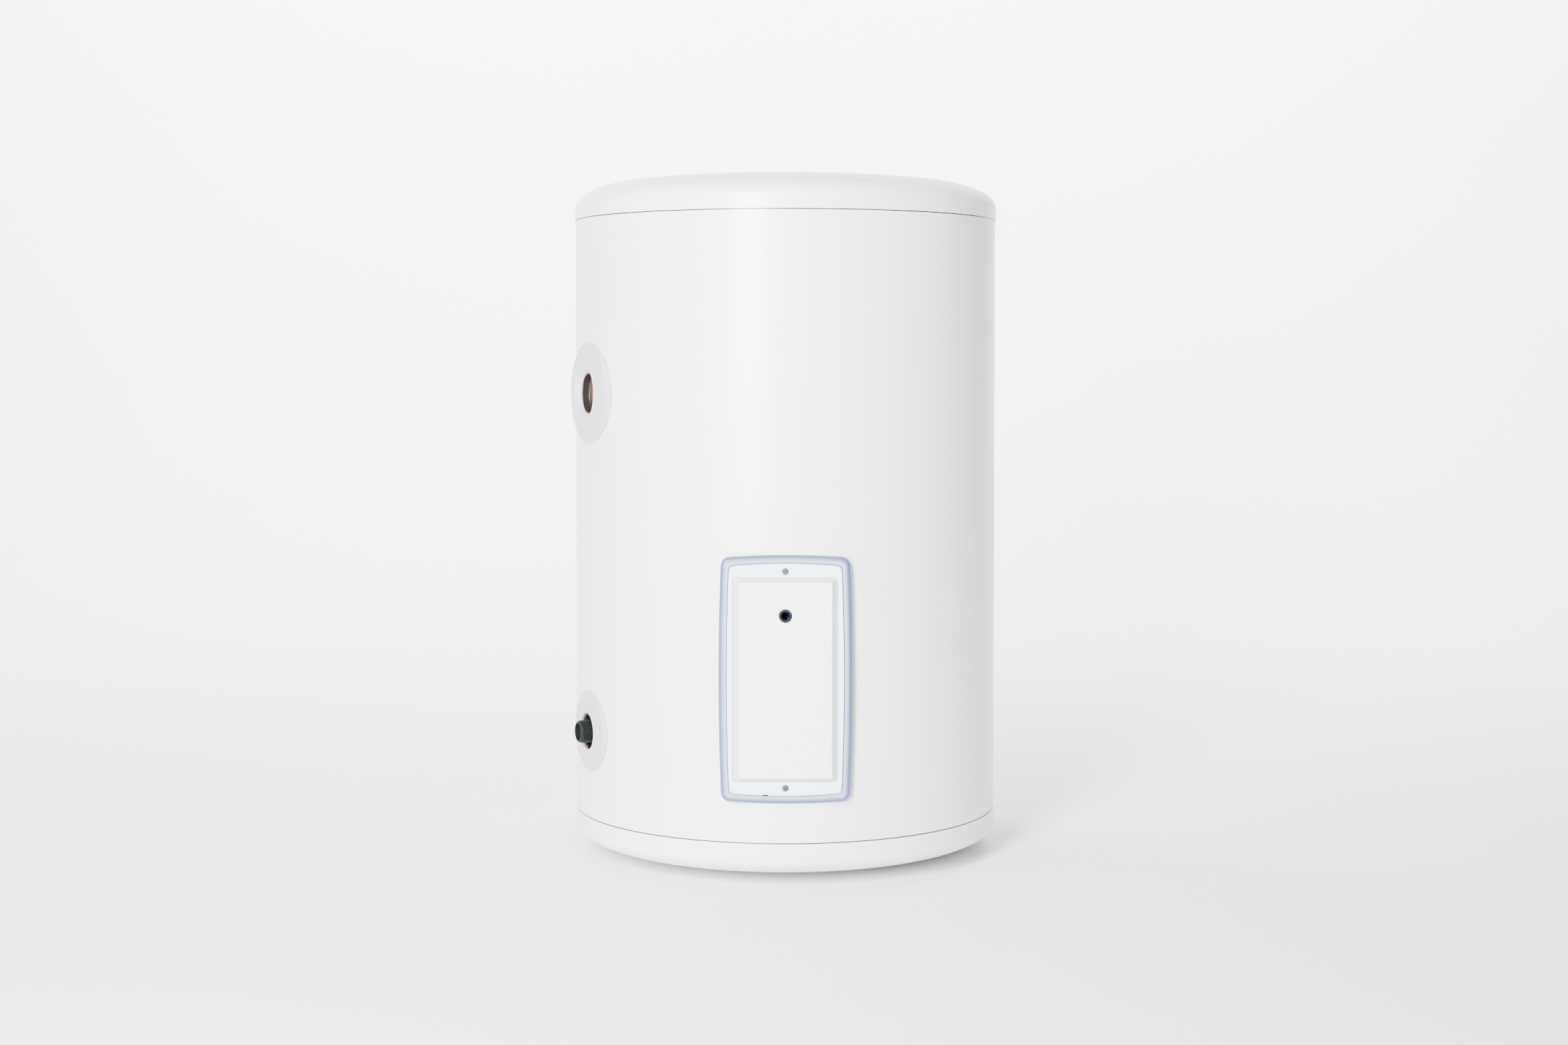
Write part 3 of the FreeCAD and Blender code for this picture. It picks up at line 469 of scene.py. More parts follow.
@dataclass(frozen=True)
class Banked(Moulding):
    """The cover's plastic, with painted shade on the slopes round its raised panel.

    Attributes:
        bank: where the slopes start and end in front of the heater's axis plane, in millimetres.
        share: how much painted shade they take.
    """

    bank: tuple[float, float] = (255.0, 260.2)
    share: float = 0.55

    def shaded(self, graph: Graph, across: Wire, up: Wire, out: Wire) -> Wire:
        """The share of painted shade, with some of it on the slopes."""
        low, high = self.bank
        # painted shade on the sloping sides of the raised panel
        slope = out.step(low - 0.1, low + 0.6) * (1.0 - out.step(high - 0.6, high + 0.2)) * self.share
        return slope.at_least(super().shaded(graph, across, up, out))


@dataclass(frozen=True)
class Throated(Finish):
    """A collar's plastic, with painted shade inside its mouth and a reddish-brown ring round it.

    Attributes:
        ports: the height and the throat radius of each connection, in millimetres.
        throat_shade: the painted shade inside the throat.
        edge: the colour of the ring just round it.
    """

    ports: tuple[tuple[float, float], ...] = ((PORT_HEIGHT[Port.HOT], 23.1), (PORT_HEIGHT[Port.COLD], 20.1))
    throat_shade: Colour = (0.012, 0.009, 0.008)
    edge: Colour = (0.20, 0.085, 0.065)

    def tint(self, graph: Graph, at: Wire, relief: Wire) -> Wire:
        """The colour at each point, with painted shade inside the throats."""
        x, y, z = graph.axes(at)
        across = (x * PORT_ACROSS.x + y * PORT_ACROSS.y) / MM
        colour = super().tint(graph, at, relief)
        for height, radius in self.ports:
            up = z / MM - height
            reach = (across * across + up * up) ** 0.5
            near = (1.0 - reach.step(radius + 0.4, radius + 1.5)) * 0.8
            colour = graph.mix(near, colour, (*self.edge, 1.0))
            # painted shade: near-black inside the throat, where the hole is deep
            colour = graph.mix(1.0 - reach.step(radius - 0.2, radius + 0.5), colour, (*self.throat_shade, 1.0))
        return colour


def white(level: float) -> Colour:
    """A neutral colour."""
    return (level, level, level)


FINISHES: dict[str, Finish] = {finish.name: finish for finish in (
    # the jacket enamel takes painted shade in its seam grooves
    Seamed("white_enamel", (0.76, 0.785, 0.765), (0.73, 0.755, 0.735), (0.30, 0.40), Grain.ORANGE_PEEL, 2.2,
           0.012, coat=0.25, coat_rough=0.22),
    # the frame takes painted shade round its bead, behind its front and in the notch
    Rimmed("frame_plastic", (0.31, 0.33, 0.44), (0.28, 0.30, 0.40), (0.30, 0.44), Grain.SPARKED, 0.8, 0.015),
    # the cover takes painted shade on its slopes, in its groove and in the notch
    Banked("white_plastic", (0.75, 0.79, 0.84), (0.72, 0.765, 0.82), (0.30, 0.42), Grain.SPARKED, 0.8, 0.012,
           painted_shade=(0.36, 0.38, 0.42), front=254.72, fade=0.9),
    # the collars take painted shade inside their throats
    Throated("collar_plastic", (0.47, 0.47, 0.52), (0.43, 0.435, 0.48), (0.32, 0.46), Grain.SPARKED, 0.8,
             0.015),
    # socket_steel: rust-brown, kept dark partly as painted shade deep in the hole
    Finish("socket_steel", (0.17, 0.06, 0.035), (0.11, 0.04, 0.026), (0.45, 0.7), Grain.CAST, 0.8, 0.05, 0.35),
    Finish("nipple_black", (0.003, 0.005, 0.004), (0.005, 0.007, 0.0055), (0.50, 0.68), Grain.CAST, 0.8, 0.03,
           shine=0.16),
    Finish("black_rubber", white(0.004), white(0.008), (0.60, 0.80), Grain.CLOUDY, 1.2, 0.03, shine=0.2),
    Finish("foot_plastic", white(0.020), white(0.032), (0.45, 0.62), Grain.SPARKED, 0.9, 0.03),
    Finish("foam", (0.72, 0.56, 0.28), (0.62, 0.45, 0.20), (0.80, 0.95), Grain.CELLULAR, 1.6, 0.5),
    Finish("tank_steel", (0.20, 0.22, 0.25), (0.14, 0.15, 0.17), (0.38, 0.58), Grain.CAST, 2.5, 0.03, 0.7),
    Finish("pipe_plastic", (0.55, 0.56, 0.52), (0.50, 0.50, 0.46), (0.35, 0.50), Grain.SPARKED, 1.0, 0.01),
    Finish("flange_steel", (0.52, 0.53, 0.54), (0.45, 0.47, 0.50), (0.30, 0.48), Grain.CAST, 1.4, 0.02, 1.0),
    Finish("zinc_steel", (0.20, 0.20, 0.195), (0.17, 0.172, 0.175), (0.28, 0.44), Grain.CAST, 0.7, 0.012, 1.0),
    Finish("dull_zinc", (0.085, 0.087, 0.09), (0.07, 0.07, 0.075), (0.34, 0.50), Grain.CAST, 0.7, 0.02, 0.9),
    Finish("sheath_metal", (0.42, 0.40, 0.36), (0.34, 0.33, 0.31), (0.34, 0.50), Grain.DRAWN, 1.0, 0.02, 1.0),
    Finish("copper", (0.78, 0.36, 0.20), (0.62, 0.27, 0.15), (0.26, 0.44), Grain.DRAWN, 0.8, 0.01, 1.0),
    Finish("brass_stud", (0.70, 0.50, 0.20), (0.62, 0.42, 0.16), (0.28, 0.42), Grain.DRAWN, 0.6, 0.01, 1.0),
    Finish("insulator", (0.78, 0.75, 0.68), (0.72, 0.68, 0.6), (0.18, 0.3), Grain.CLOUDY, 1.5, 0.02, coat=0.4),
    Finish("anode_metal", (0.40, 0.41, 0.42), (0.32, 0.33, 0.34), (0.50, 0.70), Grain.CAST, 2.0, 0.12, 0.9),
    Finish("well_plastic", (0.58, 0.60, 0.62), (0.52, 0.54, 0.56), (0.40, 0.55), Grain.SPARKED, 0.9, 0.02),
    Finish("control_black", white(0.018), white(0.028), (0.34, 0.50), Grain.SPARKED, 0.7, 0.02),
    Dial("knob_plastic", (0.70, 0.70, 0.67), (0.66, 0.66, 0.63), (0.30, 0.42), Grain.SPARKED, 0.7, 0.012),
    Finish("button_red", (0.52, 0.022, 0.016), (0.45, 0.018, 0.014), (0.24, 0.36), Grain.SPARKED, 0.7, 0.01),
    Finish("block_white", (0.74, 0.74, 0.70), (0.70, 0.69, 0.65), (0.30, 0.45), Grain.SPARKED, 0.8, 0.015),
    Finish("wire_brown", (0.10, 0.035, 0.015), (0.085, 0.03, 0.013), (0.30, 0.42), Grain.CLOUDY, 1.0, 0.01),
    Finish("wire_blue", (0.02, 0.10, 0.45), (0.018, 0.085, 0.38), (0.30, 0.42), Grain.CLOUDY, 1.0, 0.01),
    Banded("wire_green", (0.02, 0.24, 0.05), (0.02, 0.20, 0.04), (0.30, 0.42), Grain.CLOUDY, 1.0, 0.01),
)}


# ---------------------------------------------------------------- mesh work
def chain(bm: bmesh.types.BMesh, spots: Iterable[Sequence[float]], closed: bool) -> list[bmesh.types.BMVert]:
    """Adds points joined by edges, back to the first if closed, and returns them."""
    verts = [bm.verts.new(spot) for spot in spots]
    for pair in zip(verts, verts[1:] + (verts[:1] if closed else [])):
        bm.edges.new(pair)
    return verts


def round_off(bm: bmesh.types.BMesh, geom: Sequence, offset: float, bends: int,
              affect: str = "VERTICES") -> None:
    """Rounds corners or edges.

    Args:
        bm: the mesh.
        geom: its points or edges to round.
        offset: how far from them the rounding starts.
        bends: how many segments it has.
        affect: "VERTICES" or "EDGES".
    """
    bmesh.ops.bevel(bm, geom=geom, offset=offset, offset_type="OFFSET", segments=bends, profile=0.5,
                    affect=affect, material=-1, clamp_overlap=affect == "EDGES")
def facing(direction: Vector, centre: Vector) -> Matrix:
    """Turns a piece shaped facing +Z, with +Y up, to face a level direction.

    Args:
        direction: where its +Z goes.
        centre: where its origin goes, in millimetres.

    Returns:
        The transform.
    """
    return Matrix.Translation(centre) @ Matrix((UP.cross(direction), UP, direction)).transposed().to_4x4()


class Solid:
    """A mesh being shaped, in millimetres."""

    def __init__(self) -> None:
        """Starts empty."""
        self.bm = bmesh.new()

    def join(self, *others: "Solid") -> "Solid":
        """Takes over the meshes of other solids, and returns itself."""
        for other in others:
            scratch = bpy.data.meshes.new("scratch")
            other.bm.to_mesh(scratch)
            other.bm.free()
            self.bm.from_mesh(scratch)
            bpy.data.meshes.remove(scratch)
        return self

    def place(self, matrix: Matrix) -> "Solid":
        """Moves the whole mesh by a transform, and returns itself."""
        bmesh.ops.transform(self.bm, matrix=matrix, verts=self.bm.verts[:])
        return self

    def outward(self) -> "Solid":
        """Turns every face outwards, and returns itself."""
        bmesh.ops.recalc_face_normals(self.bm, faces=self.bm.faces[:])
        return self

    def block(self, size: Corner, centre: Corner, rounding: float, bends: int) -> "Solid":
        """Adds a box with rounded edges, and returns itself."""
        box = Solid()
        bmesh.ops.create_cube(box.bm, size=1.0)
        box.place(Matrix.Translation(centre) @ Matrix.Diagonal((*size, 1.0)))
        return self.join(box.soften(box.bm.edges[:], rounding, bends))

    def flute(self, count: int, depth: float, reach: float, low: float, power: int = 1,
              turn: float = 0.0) -> "Solid":
        """Presses grooves into the outside.

        Args:
            count: how many there are.
            depth: their depth, as a share of the radius.
            reach: the radius beyond which the mesh gives way.
            low: the height above which it does.
            power: how much narrower than a plain wave they are.
            turn: how far along the wave they start.

        Returns:
            Itself.
        """
        for vert in self.bm.verts:
            if vert.co.xy.length > reach and vert.co.z > low:
                wave = 0.5 + 0.5 * math.cos(count * math.atan2(vert.co.y, vert.co.x) + turn)
                vert.co.xy *= 1 - depth * wave ** power
        return self

    def lathe(self, corners: Sequence[Corner], steps: int = 96, bends: int = 4) -> "Solid":
        """Turns a profile about +Z.

        Args:
            corners: radius, height and rounding of each corner. The profile closes on itself unless its
                first corner lies on the axis, when its last one does too.
            steps: how many slices the turn has.
            bends: how many segments each rounding has.

        Returns:
            Itself.
        """
        turned = Solid()
        bm = turned.bm
        verts = chain(bm, [(r, 0.0, h) for r, h, _ in corners], corners[0][0] != 0)
        for vert, (_, _, rounding) in zip(verts, corners):
            if rounding:
                round_off(bm, [vert], rounding, bends)
        bmesh.ops.spin(bm, geom=bm.verts[:] + bm.edges[:], cent=(0, 0, 0), axis=UP, angle=math.tau,
                       steps=steps, use_merge=True)
        bmesh.ops.remove_doubles(bm, verts=bm.verts[:], dist=1e-4)
        return self.join(turned.outward())

    def loop(self, half_w: float, half_h: float, corner: float, z: float, bow: float = 0.0) -> Edges:
        """A rounded rectangle of edges.

        Args:
            half_w: half its width.
            half_h: half its height.
            corner: the rounding of its corners.
            z: the height that it lies at.
            bow: how far the middle of each side bulges outwards.

        Returns:
            Its edges.
        """
        w, h = half_w - bow, half_h - bow
        wire = Solid()
        spots = chain(wire.bm, [(x * w, y * h, z) for x, y in ((1, -1), (1, 1), (-1, 1), (-1, -1))], True)
        round_off(wire.bm, spots, corner, 5)
        sides = [e for e in wire.bm.edges if e.calc_length() > corner]
        bmesh.ops.subdivide_edges(wire.bm, edges=sides, cuts=15)
        for vert in wire.bm.verts:
            x, y = vert.co.x, vert.co.y
            if abs(abs(x) - w) < 1e-4 and abs(y) < h - corner:
                vert.co.x += math.copysign(bow * (1 - (y / (h - corner)) ** 2), x)
            elif abs(abs(y) - h) < 1e-4 and abs(x) < w - corner:
                vert.co.y += math.copysign(bow * (1 - (x / (w - corner)) ** 2), y)
        count = len(self.bm.edges)
        self.join(wire)
        self.bm.edges.ensure_lookup_table()
        return self.bm.edges[count:]

    def circle(self, radius: float, z: float, centre: Spot = (0.0, 0.0), steps: int = 32) -> Edges:
        """A circle of edges at height z."""
        made = bmesh.ops.create_circle(self.bm, cap_ends=False, radius=radius, segments=steps,
                                       matrix=Matrix.Translation((*centre, z)))
        fresh = set(made["verts"])
        return [e for e in self.bm.edges if e.verts[0] in fresh and e.verts[1] in fresh]

    def bridge(self, *loops: Edges) -> "Solid":
        """Joins each loop to the next with a band of faces, and returns itself."""
        for a, b in zip(loops, loops[1:]):
            bmesh.ops.bridge_loops(self.bm, edges=a + b)
        return self

    def cap(self, *loops: Edges) -> "Solid":
        """Closes each loop with a flat face, and returns itself."""
        for edges in loops:
            bmesh.ops.contextual_create(self.bm, geom=edges)
        return self

    def soften(self, edges: Edges, offset: float, bends: int = 3) -> "Solid":
        """Rounds edges, and returns itself."""
        round_off(self.bm, edges, offset, bends, "EDGES")
        return self

    def flat(self, z: float) -> list[bmesh.types.BMFace]:
        """The faces that lie at height z."""
        return [f for f in self.bm.faces if all(abs(v.co.z - z) < 1e-3 for v in f.verts)]

    def cut(self, faces: Iterable[bmesh.types.BMFace], point: Vector, normal: Vector) -> None:
        """Splits faces along a plane through point."""
        geom = set(faces)
        for face in list(geom):
            geom.update(face.edges)
            geom.update(face.verts)
        bmesh.ops.bisect_plane(self.bm, geom=list(geom), plane_co=point, plane_no=normal, dist=1e-5)

    def punch(self, centre: Spot, half: float, z: float, radius: float) -> Edges:
        """Opens a round hole in the flat faces at height z.

        Args:
            centre: the hole's middle, as X and Y.
            half: half the side of the square of faces that is remade round it.
            z: the height of the faces.
            radius: the hole's radius.

        Returns:
            The rim's edges.
        """
        middle = Vector((*centre, z))
        for normal in (Vector((1, 0, 0)), Vector((0, 1, 0))):
            for side in (-half, half):
                self.cut(self.flat(z), middle + normal * side, normal)

        def inside(point: Vector) -> bool:
            """Whether a point lies in the square."""
            return max(abs(point.x - middle.x), abs(point.y - middle.y)) < half + 1e-3

        doomed = [f for f in self.flat(z) if inside(f.calc_center_median())]
        bmesh.ops.delete(self.bm, geom=doomed, context="FACES")
        rim = [e for e in self.bm.edges if e.is_boundary and abs(e.verts[0].co.z - z) < 1e-3
               and inside(e.verts[0].co) and inside(e.verts[1].co)]
        hole = self.circle(radius, z, centre)
        self.bridge(rim, hole)
        return hole

    def bore(self, centre: Spot, half: float, stations: Sequence[Spot]) -> "Solid":
        """Makes a stepped round hole right through.

        Args:
            centre: its middle, as X and Y.
            half: half the side of the square of faces that is remade round each mouth.
            stations: radius and height at each step, from the front face to the back face.

        Returns:
            Itself.
        """
        (front_r, front_z), *inner, (back_r, back_z) = stations
        mouth = self.punch(centre, half, front_z, front_r)
        throat = [self.circle(radius, z, centre) for radius, z in inner]
        exit_rim = self.punch(centre, half, back_z, back_r)
        return self.bridge(mouth, *throat, exit_rim)

    def seat(self) -> "Solid":
        """Lifts what lies inside the jacket onto it, just clear of the sheet, and returns itself."""
        radius = JACKET_R + SEAT_GAP
        for vert in self.bm.verts:
            if abs(vert.co.x) < radius:
                vert.co.z = max(vert.co.z, math.sqrt(radius ** 2 - vert.co.x ** 2))
        return self

    def thread(self, radius: float, depth: float, pitch: float, z_from: float, z_to: float,
               steps: int) -> "Solid":
        """Adds a helical ridge.

        Args:
            radius: the radius that the ridge stands on.
            depth: how far it stands outwards, or inwards if negative.
            pitch: the rise in one turn.
            z_from: where it starts.
            z_to: where it ends.
            steps: how many segments one turn has.

        Returns:
            Itself.
        """
        ridge = Solid()
        foot, crest, half = radius - depth * THREAD_SINK, radius + depth, pitch * THREAD_HALF
        spots = [ridge.bm.verts.new((r, 0, z_from + half * share)) for r, share in (
            (foot, 0), (crest, 1 - THREAD_CREST), (crest, 1 + THREAD_CREST), (foot, 2))]
        start = ridge.bm.faces.new(spots)
        count = int(((z_to - z_from) / pitch - 1) * steps)
        bmesh.ops.spin(ridge.bm, geom=[*spots, *start.edges, start], cent=(0, 0, 0), axis=UP,
                       dvec=UP * pitch / steps, angle=count * math.tau / steps, steps=count, use_merge=False)
        return self.join(ridge.outward())

    def hexagon(self, across: float, z_from: float, z_to: float, bore: float, chamfer: float) -> "Solid":
        """Adds a hexagonal nut.

        Args:
            across: the distance across its flats.
            z_from: its lower face.
            z_to: its upper face.
            bore: the radius of the hole through it.
            chamfer: the rounding of its edges.

        Returns:
            Itself.
        """
        nut = Solid()
        outer = [nut.circle(across / math.sqrt(3), z, steps=6) for z in (z_from, z_to)]
        inner = [nut.circle(bore, z, steps=36) for z in (z_from, z_to)]
        nut.bridge(inner[0], outer[0], outer[1], inner[1], inner[0])
        rims = [e for e in nut.bm.edges if min(v.co.xy.length for v in e.verts) > across / 2 + 0.1]
        return self.join(nut.soften(rims, chamfer, 2).outward())

    def finish(self, name: str, slot: str, body: str = "heater", nodes: Sequence[str] = (),
               matrix: Matrix | None = None, finish: str = "") -> None:
        """Turns the mesh into a dressed object of the heater.

        Args:
            name: the piece's name.
            slot: the material slot that it takes its finish from.
            body: the moving body that it belongs to.
            nodes: the CAD nodes that it stands for.
            matrix: a last transform, in millimetres.
            finish: the finish's name, if it isn't the slot's own.
        """
        self.place(matrix or Matrix()).place(Matrix.Scale(MM, 4))
        mesh = bpy.data.meshes.new(name)
        self.bm.to_mesh(mesh)
        self.bm.free()
        mesh.shade_smooth()
        mesh.set_sharp_from_angle(angle=SHARP_ANGLE)
        mesh.materials.append(FINISHES[finish or slot].material())
        piece = bpy.data.objects.new(name, mesh)
        bpy.context.collection.objects.link(piece)
        piece.modifiers.new("even shading", "WEIGHTED_NORMAL").keep_sharp = True
        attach(piece, body)
        if nodes:
            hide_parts(*nodes)
        log.info("%s: %d faces", name, len(mesh.polygons))


def elbow(centre: Spot, wide: float, high: float, start: float, stop: float, steps: int) -> list[Corner]:
    """Profile corners along part of an ellipse.

    Args:
        centre: the ellipse's middle, as radius and height.
        wide: its half width.
        high: its half height.
        start: the angle of the first corner, in degrees.
        stop: the angle of the last one.
        steps: how many spaces there are between corners.

    Returns:
        The corners, none of them rounded.
    """
    angles = [math.radians(start + (stop - start) * k / steps) for k in range(steps + 1)]
    return [(centre[0] + wide * math.cos(a), centre[1] + high * math.sin(a), 0.0) for a in angles]


# ---------------------------------------------------------------- sub-assemblies
@dataclass
class Casing:
    """The enamelled outside: a rolled jacket between a pressed top and a pressed base.

    Attributes:
        sheet: the jacket's thickness.
        low: the jacket's lower edge.
        high: its upper edge.
        cap_r: the outside radius of the top and the base.
        cap_sheet: their thickness.
        lip_r: the radius of the step that goes into the jacket.
        crown_r: the radius where the rounded shoulder meets the flat end.
        window: half width and half height of the opening behind the cover.
        port_half: half the side of the openings behind the collars.
        foot_circle: how far the feet stand from the axis along X and along Y.
    """

    sheet: float = 1.0
    low: float = 53.2
    high: float = 748.4
    cap_r: float = 250.8
    cap_sheet: float = 1.2
    lip_r: float = 248.6
    crown_r: float = 175.8
    window: Spot = (62.5, 126.0)
    port_half: float = 24.0
    foot_circle: float = 102.53

    def build(self) -> None:
        """Builds the jacket, the top and the base."""
        self.jacket().finish("jacket_shell", "white_enamel", nodes=["outer_jacket"])
        self.top().finish("top_pressing", "white_enamel", nodes=["top_cap"])
        self.base().finish("base_pressing", "white_enamel", nodes=["base_pan"])

    def jacket(self) -> Solid:
        """The rolled sheet with its three openings, and the lock seam at the back."""
        inner = JACKET_R - self.sheet
        shell = Solid().lathe([(JACKET_R, self.low, 0.45), (JACKET_R, self.high, 0.45),
                               (inner, self.high, 0.3), (inner, self.low, 0.3)], steps=240, bends=3)
        width, height = self.window
        self.open(shell, FRONT_WAY, HATCH_HEIGHT, width, height)
        for port in Port:
            self.open(shell, PORT_WAY, PORT_HEIGHT[port], self.port_half, self.port_half)
        middle = (0, JACKET_R + 0.3, (self.low + self.high) / 2)
        return shell.block((12.0, 2.6, self.high - self.low - 1.0), middle, 1.1, 4)

    @staticmethod
    def open(shell: Solid, way: Vector, height: float, half_w: float, half_h: float) -> None:
        """Cuts a rectangular opening through both sides of the jacket.

        Args:
            shell: the jacket.
            way: the level direction that the opening faces.
            height: the height of its middle.
            half_w: half its width.
            half_h: half its height.
        """
        across = UP.cross(way)

        def facing_way() -> list[bmesh.types.BMFace]:
            """The faces on that side of the jacket."""
            return [f for f in shell.bm.faces if f.calc_center_median().xy.dot(way.xy) > 0.8 * JACKET_R]

        for sign in (-1, 1):
            shell.cut(facing_way(), across * half_w * sign, across)
            shell.cut(facing_way(), UP * (height + sign * half_h), UP)

        def inside(point: Vector) -> bool:
            """Whether a point lies in the opening."""
            return (abs(point.dot(across)) < half_w + 1e-3 and abs(point.z - height) < half_h + 1e-3
                    and point.dot(way) > 0)

        bmesh.ops.delete(shell.bm, geom=[f for f in facing_way() if inside(f.calc_center_median())],
                         context="FACES")
        rims = [e for e in shell.bm.edges if e.is_boundary and inside(e.verts[0].co) and inside(e.verts[1].co)]
        bmesh.ops.bridge_loops(shell.bm, edges=rims)

    def dish(self, rim: float, step: float, lip: float, centre: float, high: float) -> list[Corner]:
        """The outer half of a pressed end's profile, from its lip up to the flat.

        Args:
            rim: the height of the pressed edge next to the jacket.
            step: how far that edge is rounded.
            lip: the height of the lip's end inside the jacket.
            centre: the height of the shoulder's ellipse.
            high: the ellipse's half height, negative when it goes down.

        Returns:
            The profile's corners.
        """
        inner = self.lip_r - self.cap_sheet
        shoulder = elbow((self.crown_r, centre), self.cap_r - self.crown_r, high, 0, 90, 22)
        return [(inner, lip, 0.3), (self.lip_r, lip, 0.3), (self.lip_r, rim, 0.0), (self.cap_r, rim, step),
                *shoulder]

    def inside(self, centre: float, high: float, rim: float) -> list[Corner]:
        """The inner half of a pressed end's profile, from the flat back down to the lip."""
        inner = self.lip_r - self.cap_sheet
        thin = math.copysign(abs(high) - self.cap_sheet, high)
        shoulder = elbow((self.crown_r, centre), inner - self.crown_r, thin, 90, 0, 22)
        return [*shoulder, (inner, rim, 0.0)]

    def top(self) -> Solid:
        """The pressed top, with a shallow round recess."""
        rim, centre, high = 749.6, 764.0, 30.0
        crown, floor = centre + high, centre + high - 2.0
        recess = [(159.0, crown, 1.6), (154.0, floor, 1.6), (0, floor, 0)]
        outer = self.dish(rim, 0.5, 738.0, centre, high) + recess
        under = [(0, floor - self.cap_sheet, 0), (154.0, floor - self.cap_sheet, 1.0),
                 (159.0, crown - self.cap_sheet, 1.0)] + self.inside(centre, high, rim)
        return self.pressing(outer, under)

    def base(self) -> Solid:
        """The pressed base, with a hole for each foot's stem."""
        rim, centre, high = 52.0, 32.5, -22.5
        floor = centre + high
        outer = self.dish(rim, 0.5, 63.6, centre, high) + [(0, floor, 0)]
        under = [(0, floor + self.cap_sheet, 0)] + self.inside(centre, high, rim)
        solid = self.pressing(outer, under)
        for x in (-self.foot_circle, self.foot_circle):
            for y in (-self.foot_circle, self.foot_circle):
                solid.bore((x, y), 14.0, [(6.0, floor), (6.0, floor + self.cap_sheet)])
        return solid

    @staticmethod
    def pressing(outer: list[Corner], under: list[Corner]) -> Solid:
        """Turns a pressed end from pole to pole: outer goes out from its axis, and under comes back to it."""
        *rest, last = outer
        first, *back = under
        return Solid().lathe([last, *reversed(rest), *reversed(back), first], steps=240)


